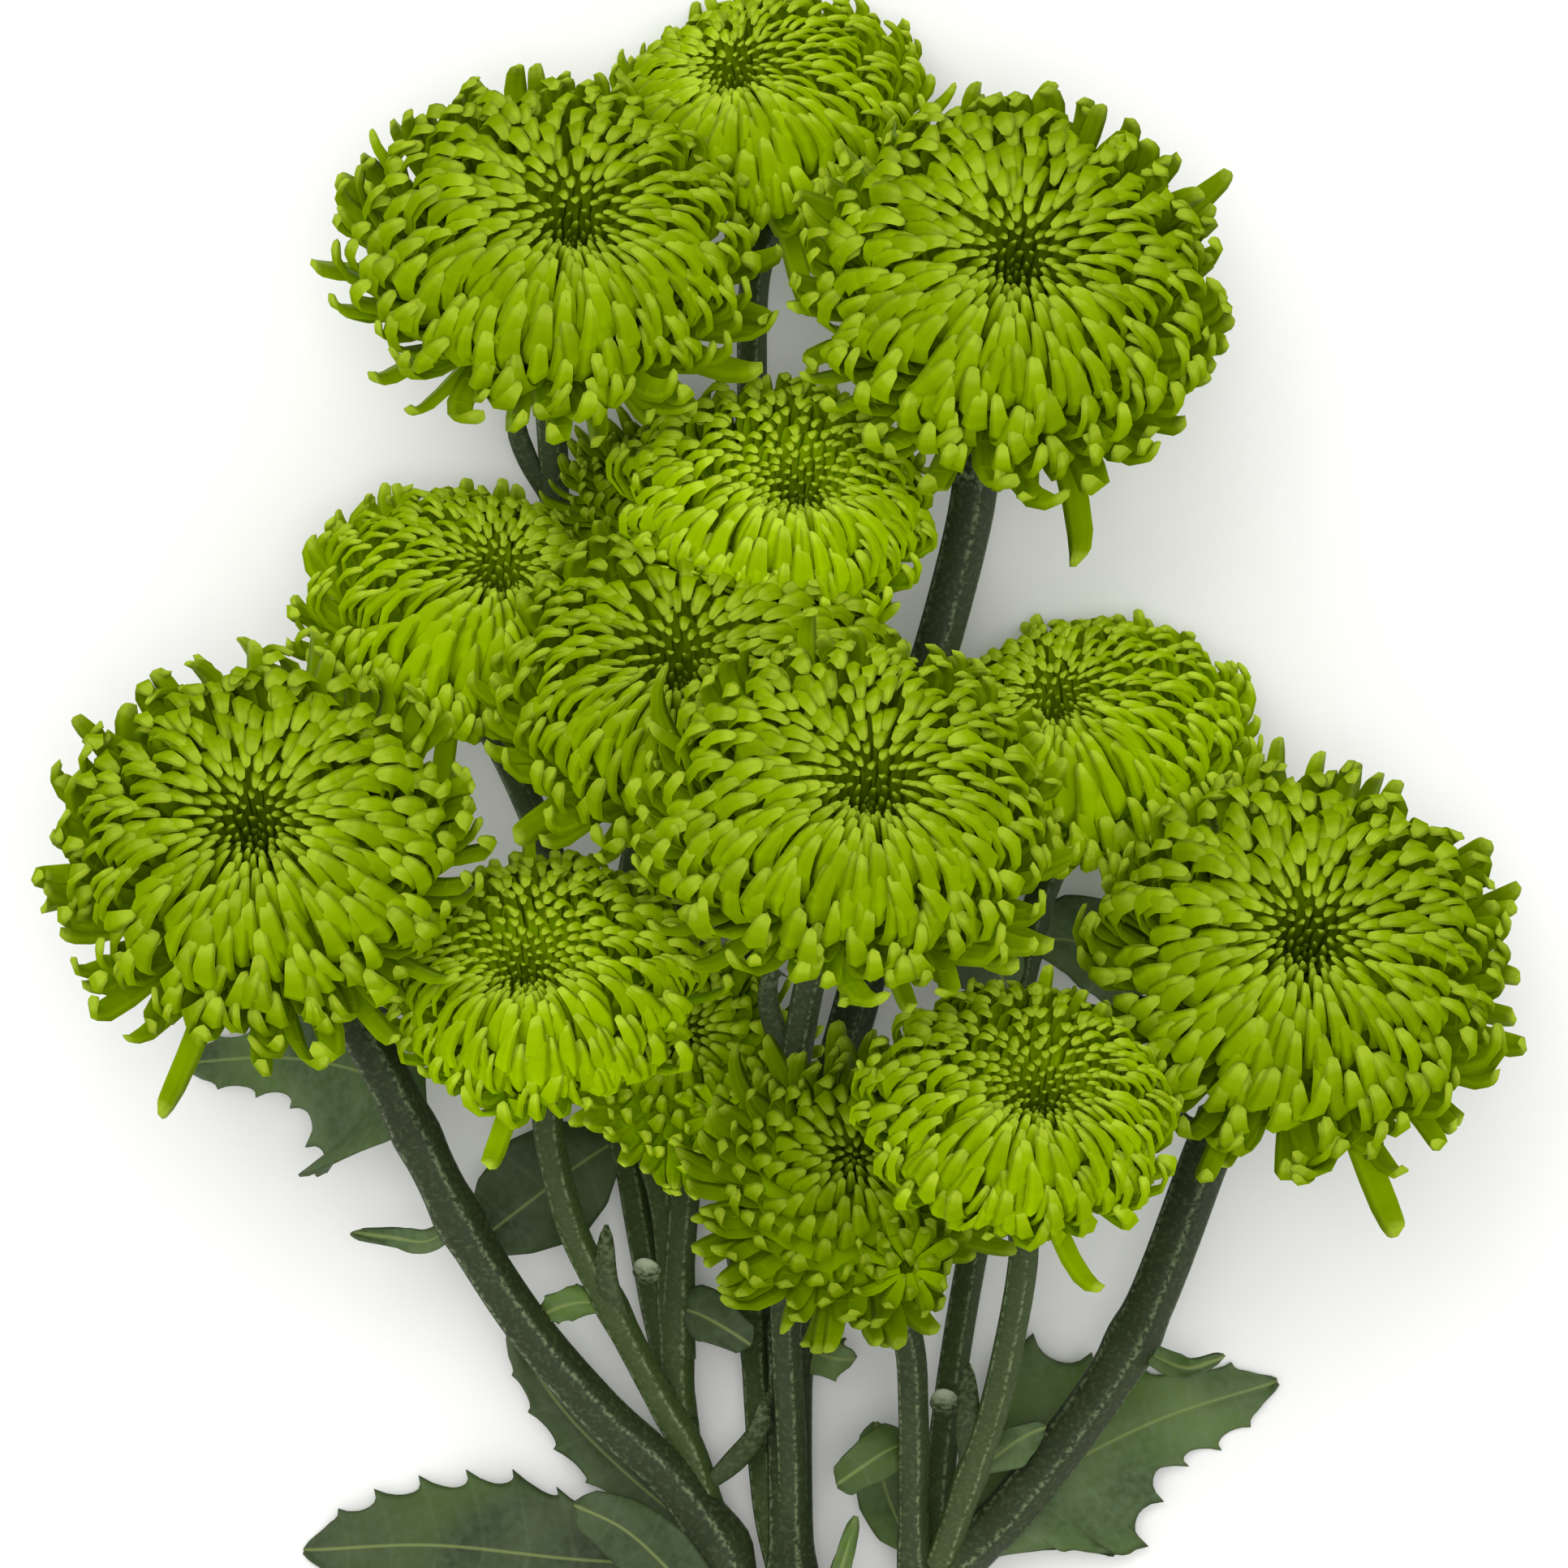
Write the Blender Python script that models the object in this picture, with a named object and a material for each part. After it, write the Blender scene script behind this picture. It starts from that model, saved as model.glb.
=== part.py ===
"""A cut spray of green chrysanthemums, lying on its side on a table.

One branched stem carries fifteen blooms and a few cut-edged leaves. The spray lies with its
cut end towards -Y and its blooms towards +Y, and the open faces of the blooms look up and
away from the stem. Every place below is in millimetres from the middle of the flower head,
with z as the height above the table.
"""

import math
import random

import bmesh
import bpy
from mathutils import Matrix, Vector

MM = 0.001

# The spray's origin, under the middle of its box, seen from the middle of the flower head
ORIGIN = (0.0, -38.2, 0.0)

# Gap between pieces that touch, in millimetres
TOUCH_GAP = 0.3

# The flattened ball that stands for a bloom where it leans on the next one, in shares of its
# radius, and how near to the next bloom its petals begin to bend back, in millimetres
PRESSED_RADIUS = 0.92
PRESSED_THICKNESS = 0.40
PRESSED_RISE = 0.15
PRESSED_REACH = 1.15
PRESS_BAND = 4.0
PRESS_STEPS = 40

# Petals: where they are widest along their length, how wide their root is, and how far their
# edges and their ridge stand from the middle, in shares of the half width
PETAL_WIDEST = 0.62
PETAL_ROOT_WIDTH = 0.6
PETAL_EDGE = 0.15
PETAL_RIDGE = 0.35

# Petals differ: share of the spacing, length, rise and twist
SPACING_JITTER = 0.12
SHORTER = -0.07
LONGER = 0.04
RISE_JITTER = 0.03
TWIST_JITTER = 0.25

# The core under the petals
BLOOM_UNDERSIDE = -0.14
CORE_SIDES = 8

# Stems in millimetres, with the cup under a bloom as a share of the bloom's radius
BRANCH_SIDES = 8
STALK_SIDES = 5
STRAIGHT_STALK = 7.0
CUP_RADIUS = 0.19
CUP_HEIGHT = 4.0
CUP_SHOULDER = 0.4
CUP_FLARE = 1.05
NECK_SHARE = 0.8
NECK_LEAST = 2.4
SCALE_SIDES = 4
SCALE_TAPER = 0.75

# Colours
PETAL_GREEN = (0.30, 0.46, 0.01, 1.0)
STEM_GREEN = (0.045, 0.075, 0.04, 1.0)
LEAF_GREEN = (0.055, 0.10, 0.045, 1.0)

# Each ring: petals, their root, their bulge and their tip as (out, up), and their width
OPEN_RINGS = (
    (9, (0.40, -0.05), (0.80, -0.10), (1.00, 0.10), 0.38),
    (8, (0.40, 0.02), (0.84, 0.12), (0.84, 0.34), 0.44),
    (6, (0.34, 0.08), (0.68, 0.36), (0.50, 0.48), 0.46),
    (4, (0.28, 0.12), (0.44, 0.48), (0.18, 0.46), 0.40),
)
CLOSED_RINGS = (
    (9, (0.40, -0.04), (0.95, -0.04), (0.96, 0.24), 0.42),
    (8, (0.40, 0.04), (0.90, 0.22), (0.72, 0.46), 0.46),
    (6, (0.34, 0.10), (0.70, 0.46), (0.42, 0.54), 0.46),
)
FLAT_RINGS = (
    (10, (0.40, -0.05), (0.78, -0.10), (1.00, 0.06), 0.38),
    (8, (0.38, 0.02), (0.76, 0.14), (0.76, 0.28), 0.40),
    (6, (0.30, 0.08), (0.52, 0.34), (0.36, 0.38), 0.38),
)
OPEN_CORE = ((0.30, -0.14), (0.70, -0.04), (0.74, 0.16), (0.44, 0.38), (0.20, 0.26))
CLOSED_CORE = ((0.30, -0.14), (0.76, 0.00), (0.78, 0.24), (0.48, 0.43), (0.22, 0.22))
FLAT_CORE = ((0.30, -0.14), (0.66, -0.04), (0.68, 0.14), (0.38, 0.27), (0.18, 0.18))

# Long petals that leave the rings: compass angle, how far out and how far up their tips are
STRAY_ROOT = (0.30, -0.04)
STRAY_BULGE_OUT = 0.75
STRAY_BULGE_UP = -0.08
STRAY_WIDTH = 0.20
STRAY_TWIST = 0.1
DOME_STRAYS = ((-76, 1.28, -0.42), (-40, 1.10, -0.16))
WIDE_STRAYS = ((172, 1.08, 0.02), (205, 1.06, -0.10), (-28, 1.06, -0.06))
BROAD_STRAYS = ((-62, 1.16, -0.10), (8, 1.06, 0.04), (160, 1.05, 0.02))
YOUNG_STRAYS = ((84, 0.98, 0.40), (4, 1.04, 0.16), (-38, 1.02, 0.02))
NO_STRAYS = ()

# Every bloom: place, radius, the way it faces, its kind, and -1 where it is turned left to right
DOME = (OPEN_RINGS, OPEN_CORE, DOME_STRAYS)
WIDE = (OPEN_RINGS, OPEN_CORE, WIDE_STRAYS)
BROAD = (OPEN_RINGS, OPEN_CORE, BROAD_STRAYS)
YOUNG = (CLOSED_RINGS, CLOSED_CORE, YOUNG_STRAYS)
FLAT = (FLAT_RINGS, FLAT_CORE, NO_STRAYS)
BLOOMS = {
    "bloom_01": ((-2.7, 100.5, 18.3), 25.0, (-0.15, 0.70, 0.70), DOME, 1),
    "bloom_02": ((-35.0, 79.5, 42.0), 31.3, (0.06, 0.55, 0.83), WIDE, 1),
    "bloom_03": ((34.0, 73.5, 46.0), 32.0, (0.06, 0.36, 0.93), BROAD, 1),
    "bloom_04": ((-1.2, 41.0, 37.0), 23.5, (0.08, 0.68, 0.73), YOUNG, 1),
    "bloom_05": ((-19.9, 42.0, 20.0), 16.0, (-0.10, 0.45, 0.88), FLAT, 1),
    "bloom_06": ((-48.0, 24.0, 27.0), 26.0, (0.15, 0.70, 0.70), DOME, -1),
    "bloom_07": ((-11.9, 13.2, 50.0), 31.3, (-0.06, 0.55, 0.83), WIDE, -1),
    "bloom_08": ((9.5, -5.3, 82.0), 30.9, (0.06, 0.55, 0.83), WIDE, 1),
    "bloom_09": ((46.3, 4.6, 18.2), 25.7, (-0.15, 0.70, 0.70), DOME, 1),
    "bloom_10": ((-78.0, -11.0, 55.0), 31.6, (-0.06, 0.36, 0.93), BROAD, -1),
    "bloom_11": ((77.3, -28.2, 45.0), 32.2, (0.06, 0.36, 0.93), BROAD, 1),
    "bloom_12": ((-35.0, -31.2, 48.0), 23.6, (-0.10, 0.68, 0.73), YOUNG, -1),
    "bloom_13": ((-14.2, -42.6, 29.6), 20.0, (-0.02, 0.30, 0.95), FLAT, -1),
    "bloom_14": ((34.5, -50.0, 65.0), 23.4, (0.10, 0.68, 0.73), YOUNG, 1),
    "bloom_15": ((8.9, -61.5, 56.0), 23.6, (0.05, 0.30, 0.95), FLAT, 1),
}

# Small side rosettes: bloom, compass angle, how far out, how far up, and their own radius
ROSETTES = {
    "bloom_13": (245, 0.52, 0.20, 0.30),
    "bloom_15": (-55, 0.66, 0.16, 0.30),
}
ROSETTE_PETALS = 5
ROSETTE_ROOT = (0.02, -0.10)
ROSETTE_BULGE_OUT = 0.8
ROSETTE_BULGE_UP = 0.08
ROSETTE_TIP_OUT = 0.5
ROSETTE_TIP_UP = 0.24
ROSETTE_WIDTH = 0.20
ROSETTE_TWIST = 0.1

# Stems: half width at the bottom and the top, then the way from the joint up to the bloom
MAIN_END = (2.4, -198.0, 3.70)
MAIN_JOINT = (2.4, -148.0, 7.5)
MAIN_ROUTE = (MAIN_END, (2.4, -182.0, 3.71), (2.4, -166.0, 4.6), MAIN_JOINT)
MAIN_HALF_WIDTH = 4.0
BRANCHES = {
    "bloom_03": (3.4, 3.5, (MAIN_JOINT, (1.0, -121, 10), (1.1, -84, 10), (5.5, -54, 10),
                            (13.6, -23, 10), (17, 1, 11.5), (23.2, 21, 16), (28, 40, 24),
                            (30, 54, 30))),
    "bloom_10": (3.5, 3.4, (MAIN_JOINT, (-4, -134, 8.5), (-9.5, -118, 9.5), (-17.5, -106, 12),
                            (-28, -96, 15), (-39, -83, 20), (-48.5, -68, 26), (-56, -53, 31),
                            (-63, -39, 37))),
    "bloom_11": (3.7, 3.7, (MAIN_JOINT, (13, -135, 8.5), (25, -120, 9.5), (35.5, -110, 11),
                            (53, -85, 17), (65, -54, 26), (71, -42, 31))),
}
STALKS = {
    "bloom_01": (2.3, ((1.0, -124, 9.5), (-2.6, -111, 8), (-4.5, -84, 7), (-5, -54, 6),
                       (-5, -17, 5.5), (-4, 14, 5), (-4.5, 40, 5), (-5, 60, 6), (-4.5, 78, 8))),
    "bloom_02": (2.3, ((-4.5, -84, 7), (-7.6, -67, 6), (-10.7, -42, 5), (-17, -14, 4),
                       (-24.5, 8, 3), (-31, 26, 3), (-35, 41, 4.5), (-35.5, 51, 9),
                       (-36, 61, 17))),
    "bloom_04": (2.3, ((-4.5, 5, 5), (-4.2, 18, 9), (-3, 28, 18))),
    "bloom_05": (2.2, ((-4.5, 0, 5), (-9, 17, 6), (-15, 29, 8))),
    "bloom_06": (2.3, ((-13, -114, 10), (-16, -97, 9), (-21, -74, 9), (-24.5, -54, 8.5),
                       (-28, -35, 8), (-34.5, -15, 9), (-41, 1, 12), (-46, 10, 15))),
    "bloom_07": (2.3, ((-16, -97, 9.5), (-18, -67, 12), (-21, -54, 13), (-22.5, -35, 15),
                       (-23.5, -17, 18), (-21, -7, 23), (-15, 0, 31))),
    "bloom_08": (2.3, ((1.0, -121, 10), (1.1, -104, 13), (0.2, -84, 20), (-0.5, -60, 31),
                       (1.5, -43, 42), (4.2, -28, 56))),
    "bloom_09": (2.3, ((23, -122, 9.5), (24, -104, 9), (26.7, -84, 9), (31, -60, 8),
                       (35.5, -34, 8), (39, -18, 9), (44, -8, 10))),
    "bloom_12": (2.3, ((-10, -117, 9.5), (-14, -103, 11), (-18.5, -95, 13), (-26.5, -79.5, 19),
                       (-32.7, -66.4, 25), (-36, -50, 33))),
    "bloom_13": (2.3, ((-16.3, -88, 10), (-16, -72, 13), (-14.5, -55, 17))),
    "bloom_14": (2.25, ((23, -122, 10), (28, -107, 18), (32.5, -92, 29), (36, -70, 46))),
    "bloom_15": (2.3, ((20, -125, 9.5), (19.7, -110, 15), (19.6, -96, 24), (18.5, -83, 32),
                       (13, -71, 42))),
}

# Scale leaves and stubs on the stem: half width and the way from inside the stem to the tip
SCALES = {
    "bract_left": (1.6, ((-36, 43, 6), (-39, 49, 9), (-41, 55, 12), (-39.5, 59, 14), (-37.5, 57, 15))),
    "bract_middle": (1.6, ((1.6, -44, 41), (-1, -38, 43), (-2.5, -32, 46), (-1.5, -28, 48), (0.5, -29, 50))),
    "stub_right": (1.7, ((29, 51, 28), (24, 52, 30), (22, 55, 31))),
    "stub_left": (1.7, ((-63, -34, 38), (-59, -34, 40), (-57, -31, 41))),
    "stub_far_right": (1.7, ((66, -52, 27), (61, -51, 29), (59, -48, 30))),
    "scale_left": (1.4, ((-27, -79, 19), (-27, -74, 23), (-27, -68, 25))),
    "scale_right": (1.4, ((29, -103, 20), (28.5, -96, 24), (28, -89, 26))),
    "scale_centre": (1.4, ((-2, -106, 9), (-3.5, -99, 12), (-3, -93, 14))),
}

# Leaves: the midrib's way from inside the stem to the tip, the half widths on its left and on
# its right as it grows, from base to tip, and how far the edges droop
LEAVES = {
    "leaf_01": (((-55, -52, 30), (-62, -45, 20), (-76, -42, 9), (-93, -43, 0.9)),
                (1.0, 19, 16, 7, 5, 2), (1.0, 6, 8, 6, 4, 2), 0.10),
    "leaf_02": (((-24.5, -54, 8.5), (-31, -58, 11), (-39, -64, 12), (-48, -71, 10)),
                (1.0, 8, 10, 7, 2), (1.0, 8, 10, 8, 2), 0.10),
    "leaf_03": (((-49.5, -66, 26.5), (-54, -69.5, 24), (-60, -69, 22), (-66, -68.5, 20)),
                (0.8, 1.6, 2.0, 1.2, 0.7), (0.8, 1.6, 2.0, 1.2, 0.7), 0.15),
    "leaf_04": (((-11, -120, 9.5), (-32, -119, 7), (-54, -117, 4), (-74, -118, 0.9)),
                (1.2, 9, 12, 10, 3), (1.2, 8, 12, 9, 3), 0.08),
    "leaf_05": (((-11, -130, 9), (-16, -122, 15), (-24, -114, 19), (-32, -110, 18)),
                (1.0, 5, 6, 5, 3), (1.0, 5, 6, 5, 3), 0.12),
    "leaf_06": (((28, -118, 10), (38, -108, 7), (57, -98, 3), (76, -92, 0.9)),
                (1.2, 8, 22, 9, 6, 2), (1.2, 12, 18, 8, 7, 2), 0.08),
    "leaf_07": (((53, -85, 17), (58, -88, 19), (62, -89, 21), (67, -87, 22)),
                (0.8, 1.6, 2.0, 1.2, 0.7), (0.8, 1.6, 2.0, 1.2, 0.7), 0.15),
    "leaf_08": (((36, -34, 8), (32, -28, 14), (24, -23, 18), (14, -22, 20)),
                (1.0, 6, 7, 6, 3), (1.0, 5, 6, 5, 3), 0.10),
    "leaf_09": (((37, -24, 9), (44, -24, 8), (50, -27, 7), (53, -34, 6)),
                (1.0, 7, 8, 6, 3), (1.0, 5, 7, 6, 3), 0.10),
    "leaf_10": (((-16, -82, 11), (-12, -83, 18), (-8, -82, 22), (-5, -78, 23)),
                (1.0, 4, 5, 4, 2), (1.0, 4, 6, 5, 3), 0.15),
    "leaf_11": (((20, -106, 17), (15, -104, 20), (10, -103, 21), (6, -104, 20)),
                (1.0, 3, 4, 3, 2), (1.0, 3, 4, 3, 2), 0.15),
    "leaf_12": (((20, -118, 13), (17, -112, 8), (15, -106, 6), (14, -98, 5)),
                (1.0, 4, 5, 4, 2), (1.0, 4, 5, 4, 2), 0.12),
    "leaf_13": (((-26.5, -79.5, 19), (-31, -79, 21), (-35, -80, 21), (-38, -82, 19)),
                (0.8, 2, 3, 2, 1), (0.8, 2, 3, 2, 1), 0.20),
    "leaf_14": (((1.1, -84, 10), (5, -87, 11), (8, -88, 12), (11, -88, 11)),
                (0.8, 3, 4, 3, 1), (0.8, 3, 4, 3, 1), 0.15),
    "leaf_15": (((28.5, -105, 18), (32, -103, 17), (36, -100, 18), (40, -98, 17)),
                (0.8, 2, 3, 2, 1), (0.8, 2, 4, 3, 1), 0.15),
    "leaf_16": (((3, -136, 9), (7, -127, 12), (9, -119, 14), (11, -112, 14)),
                (0.8, 1.5, 2, 1.5, 0.7), (0.8, 1.5, 2, 1.5, 0.7), 0.15),
    "leaf_17": (((-10, -117, 9.5), (-23, -107, 6), (-34, -96, 6), (-42, -84, 8)),
                (1.0, 4, 5, 4, 2), (1.0, 4, 5, 4, 2), 0.10),
}
LEAF_THICKNESS = 0.8
RIB_STEPS = 4
TOOTH_SPACING = 10.0
FEWEST_TEETH = 3
TOOTH_LEAN = 0.6
TOOTH_WIDTH = 1.12
TOOTH_DROOP = 1.6
NOTCH_WIDTH = 0.8


def clear_scene():
    for thing in list(bpy.data.objects):
        bpy.data.objects.remove(thing, do_unlink=True)


def make_material(name, colour, roughness):
    material = bpy.data.materials.new(name)
    material.use_nodes = True
    shader = material.node_tree.nodes["Principled BSDF"]
    shader.inputs["Base Color"].default_value = colour
    shader.inputs["Roughness"].default_value = roughness
    shader.inputs["Metallic"].default_value = 0.0
    return material


def add_object(name, mesh, material):
    thing = bpy.data.objects.new(name, mesh)
    bpy.context.scene.collection.objects.link(thing)
    mesh.materials.clear()
    mesh.materials.append(material)
    return thing


def mesh_from(points, faces):
    """A mesh in metres from points in millimetres, with its faces turned outwards."""
    mesh = bpy.data.meshes.new("shape")
    mesh.from_pydata([(Vector(point) - Vector(ORIGIN)) * MM for point in points], [], faces)
    shape = bmesh.new()
    shape.from_mesh(mesh)
    bmesh.ops.triangulate(shape, faces=shape.faces)
    bmesh.ops.recalc_face_normals(shape, faces=shape.faces)
    shape.to_mesh(mesh)
    shape.free()
    return mesh


def outer_shell(mesh):
    """Keep the largest joined body, so that no scrap and no sealed hollow is left."""
    shape = bmesh.new()
    shape.from_mesh(mesh)
    bmesh.ops.triangulate(shape, faces=shape.faces)
    groups = []
    seen = set()
    for start in shape.faces:
        if start in seen:
            continue
        group = []
        queue = [start]
        seen.add(start)
        while queue:
            face = queue.pop()
            group.append(face)
            for edge in face.edges:
                if len(edge.link_faces) != 2:
                    continue
                for other in edge.link_faces:
                    if other not in seen:
                        seen.add(other)
                        queue.append(other)
        groups.append(group)
    groups.sort(key=len)
    for group in groups[:-1]:
        bmesh.ops.delete(shape, geom=group, context="FACES")
    shape.to_mesh(mesh)
    shape.free()
    return mesh


def combine(base_mesh, others, operation):
    """One Boolean of a mesh with a collection of others, applied.

    The exact solver leaves crowded petals touching themselves along an edge, so this is manifold.
    """
    base = bpy.data.objects.new("base", base_mesh)
    bpy.context.scene.collection.objects.link(base)
    group = bpy.data.collections.new("pieces")
    bpy.context.scene.collection.children.link(group)
    for mesh in others:
        group.objects.link(bpy.data.objects.new("piece", mesh))
    boolean = base.modifiers.new("join", "BOOLEAN")
    boolean.operation = operation
    boolean.solver = "MANIFOLD"
    boolean.operand_type = "COLLECTION"
    boolean.collection = group
    graph = bpy.context.evaluated_depsgraph_get()
    result = bpy.data.meshes.new_from_object(base.evaluated_get(graph))
    for piece in list(group.objects):
        bpy.data.objects.remove(piece, do_unlink=True)
    bpy.data.objects.remove(base, do_unlink=True)
    bpy.data.collections.remove(group)
    return outer_shell(result)


def smooth_route(points, steps):
    """Points along a smooth curve through the given ones."""
    ends = [Vector(point) for point in points]
    ends = [ends[0] * 2 - ends[1]] + ends + [ends[-1] * 2 - ends[-2]]
    route = []
    for index in range(1, len(ends) - 2):
        a, b, c, d = ends[index - 1:index + 3]
        for step in range(steps):
            t = step / steps
            route.append(0.5 * (2 * b + (c - a) * t + (2 * a - 5 * b + 4 * c - d) * t * t
                                + (3 * b - a - 3 * c + d) * t * t * t))
    route.append(ends[-2])
    return route


def tube_mesh(route, half_widths, sides):
    """A bar with flat sides along a route, one of them underneath, and flat ends."""
    points = []
    faces = []
    count = len(route)
    across = Vector((1, 0, 0))
    for index, (centre, half_width) in enumerate(zip(route, half_widths)):
        ahead = (route[min(index + 1, count - 1)] - route[max(index - 1, 0)]).normalized()
        across = (across - ahead * across.dot(ahead)).normalized()
        up = across.cross(ahead)
        for side in range(sides):
            angle = math.tau * (side + 0.5) / sides + math.pi / 2
            points.append(centre + (across * math.cos(angle) + up * math.sin(angle)) * half_width)
    for index in range(count - 1):
        for side in range(sides):
            following = (side + 1) % sides
            low = index * sides
            high = low + sides
            faces.append((low + side, low + following, high + following, high + side))
    faces.append(tuple(range(sides)))
    faces.append(tuple(range(len(points) - sides, len(points))))
    return mesh_from(points, faces)


def bloom_frame(name):
    """The bloom's place and radius, and its own right, up and forward directions."""
    place, radius, facing = BLOOMS[name][:3]
    forward = Vector(facing).normalized()
    right = Vector((0, 1, 0)).cross(forward).normalized()
    up = forward.cross(right)
    return Vector(place), radius, right, up, forward


def press_planes(name):
    """Planes between this bloom and its neighbours, which press its petals back."""
    planes = []
    place, reach, shape = pressed_body(name)
    for other in BLOOMS:
        if other == name:
            continue
        other_place, other_reach, other_shape = pressed_body(other)
        apart = other_place - place
        if apart.length > reach + other_reach:
            continue
        best = None
        for step in range(1, PRESS_STEPS):
            share = step / PRESS_STEPS
            mixed = shape * (1 / (1 - share)) + other_shape * (1 / share)
            normal = mixed.inverted() @ apart
            score = apart.dot(normal)
            if best is None or score > best[0]:
                best = (score, normal.normalized())
        normal = best[1]
        own = math.sqrt(normal.dot(shape @ normal))
        theirs = math.sqrt(normal.dot(other_shape @ normal))
        distance = apart.dot(normal) * own / (own + theirs)
        planes.append((place + normal * (distance - TOUCH_GAP / 2), normal))
    return planes


def pressed_body(name):
    """The flattened ball that stands for a bloom among its neighbours."""
    place, radius, right, up, forward = bloom_frame(name)
    wide = (radius * PRESSED_RADIUS) ** 2
    thick = (radius * PRESSED_THICKNESS) ** 2
    outer = Matrix([[forward[row] * forward[column] for column in range(3)] for row in range(3)])
    shape = (Matrix.Identity(3) - outer) * wide + outer * thick
    return place + forward * radius * PRESSED_RISE, radius * PRESSED_REACH, shape


def pressed(point, planes):
    """Move a point back from every plane that it nears, so that it never crosses one."""
    for origin, normal in planes:
        beyond = (point - origin).dot(normal)
        if beyond > -PRESS_BAND:
            held = -PRESS_BAND * PRESS_BAND / (beyond + 2 * PRESS_BAND)
            point = point + normal * (held - beyond)
    return point


def petal_points(root, bulge, tip, width, angle, twist):
    """A three-sided blade in the bloom's own frame, from its root to its pointed tip."""
    outward = Vector((math.cos(angle), math.sin(angle), 0))
    around = Vector((-math.sin(angle), math.cos(angle), 0))
    lift = Vector((0, 0, 1))
    ends = [outward * out + lift * rise for out, rise in (root, bulge, tip)]
    control = ends[1] * 2 - (ends[0] + ends[2]) * 0.5
    points = []
    for t, share in ((0.0, PETAL_ROOT_WIDTH), (PETAL_WIDEST, 1.0)):
        centre = ends[0] * (1 - t) ** 2 + control * 2 * t * (1 - t) + ends[2] * t * t
        ahead = ((control - ends[0]) * (1 - t) + (ends[2] - control) * t).normalized()
        back = ahead.cross(around).normalized()
        side = (around + back * twist).normalized()
        half = width * 0.5 * share
        points.append(centre + side * half - back * half * PETAL_EDGE)
        points.append(centre - side * half - back * half * PETAL_EDGE)
        points.append(centre + back * half * PETAL_RIDGE)
    points.append(ends[2])
    return points


PETAL_FACES = (
    (0, 1, 2),
    (0, 1, 4, 3), (1, 2, 5, 4), (2, 0, 3, 5),
    (3, 4, 6), (4, 5, 6), (5, 3, 6),
)


def core_points(profile):
    """The smaller body that the petals stand out of, turned from its profile."""
    points = []
    for out, rise in profile:
        for side in range(CORE_SIDES):
            angle = math.tau * side / CORE_SIDES
            points.append(Vector((out * math.cos(angle), out * math.sin(angle), rise)))
    faces = []
    for ring in range(len(profile) - 1):
        for side in range(CORE_SIDES):
            following = (side + 1) % CORE_SIDES
            low = ring * CORE_SIDES
            high = low + CORE_SIDES
            faces.append((low + side, low + following, high + following, high + side))
    faces.append(tuple(range(CORE_SIDES)))
    faces.append(tuple(range(len(points) - CORE_SIDES, len(points))))
    return points, faces


def rosette_blades(out_angle, out, rise, radius):
    """Short petals that stand round a small second centre on the bloom."""
    angle = math.radians(out_angle)
    centre = Vector((out * math.cos(angle), out * math.sin(angle), rise))
    bulge = (radius * ROSETTE_BULGE_OUT, ROSETTE_BULGE_UP)
    tip = (radius * ROSETTE_TIP_OUT, ROSETTE_TIP_UP)
    blades = []
    for index in range(ROSETTE_PETALS):
        turn = math.tau * index / ROSETTE_PETALS
        blade = petal_points(ROSETTE_ROOT, bulge, tip, ROSETTE_WIDTH, turn, ROSETTE_TWIST)
        blades.append([centre + point for point in blade])
    return blades


def build_bloom(name, material):
    """A bloom's core with its rings of petals, its long petals and its side rosette."""
    kind, turn = BLOOMS[name][3:]
    rings, profile, strays = kind
    place, radius, right, up, forward = bloom_frame(name)
    planes = press_planes(name)
    chance = random.Random(name)

    def set_in_place(points):
        moved = []
        for point in points:
            spot = place + (right * point.x * turn + up * point.y + forward * point.z) * radius
            moved.append(pressed(spot, planes))
        return moved

    points, faces = core_points(profile)
    core = mesh_from(set_in_place(points), faces)
    blades = []
    start = chance.uniform(0, math.tau)
    for index, (count, root, bulge, tip, width) in enumerate(rings):
        for number in range(count):
            slot = number + 0.5 * (index % 2) + chance.uniform(-SPACING_JITTER, SPACING_JITTER)
            angle = start + math.tau * slot / count
            longer = 1 + chance.uniform(SHORTER, LONGER)
            rise = chance.uniform(-RISE_JITTER, RISE_JITTER)
            twist = chance.uniform(-TWIST_JITTER, TWIST_JITTER)
            own_bulge = (bulge[0] * longer, bulge[1] + rise)
            own_tip = (tip[0] * longer, tip[1] + rise)
            blades.append(petal_points(root, own_bulge, own_tip, width, angle, twist))
    for compass, out, rise in strays:
        bulge = (out * STRAY_BULGE_OUT, STRAY_BULGE_UP)
        angle = math.radians(compass)
        blades.append(petal_points(STRAY_ROOT, bulge, (out, rise), STRAY_WIDTH, angle, STRAY_TWIST))
    if name in ROSETTES:
        blades.extend(rosette_blades(*ROSETTES[name]))
    petals = [mesh_from(set_in_place(blade), PETAL_FACES) for blade in blades]
    mesh = combine(core, petals, "UNION")
    return add_object(name, mesh, material)


def stalk_routes():
    """Every stem as its route, its half widths and its sides, each with its cup at the top."""
    routes = []
    main = [Vector(point) for point in MAIN_ROUTE]
    routes.append((main, [MAIN_HALF_WIDTH] * len(main), BRANCH_SIDES))
    for name, (low_width, top_width, way) in BRANCHES.items():
        routes.append(topped_route(name, way, low_width, top_width, BRANCH_SIDES))
    for name, (half_width, way) in STALKS.items():
        routes.append(topped_route(name, way, half_width, half_width, STALK_SIDES))
    return routes


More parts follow.
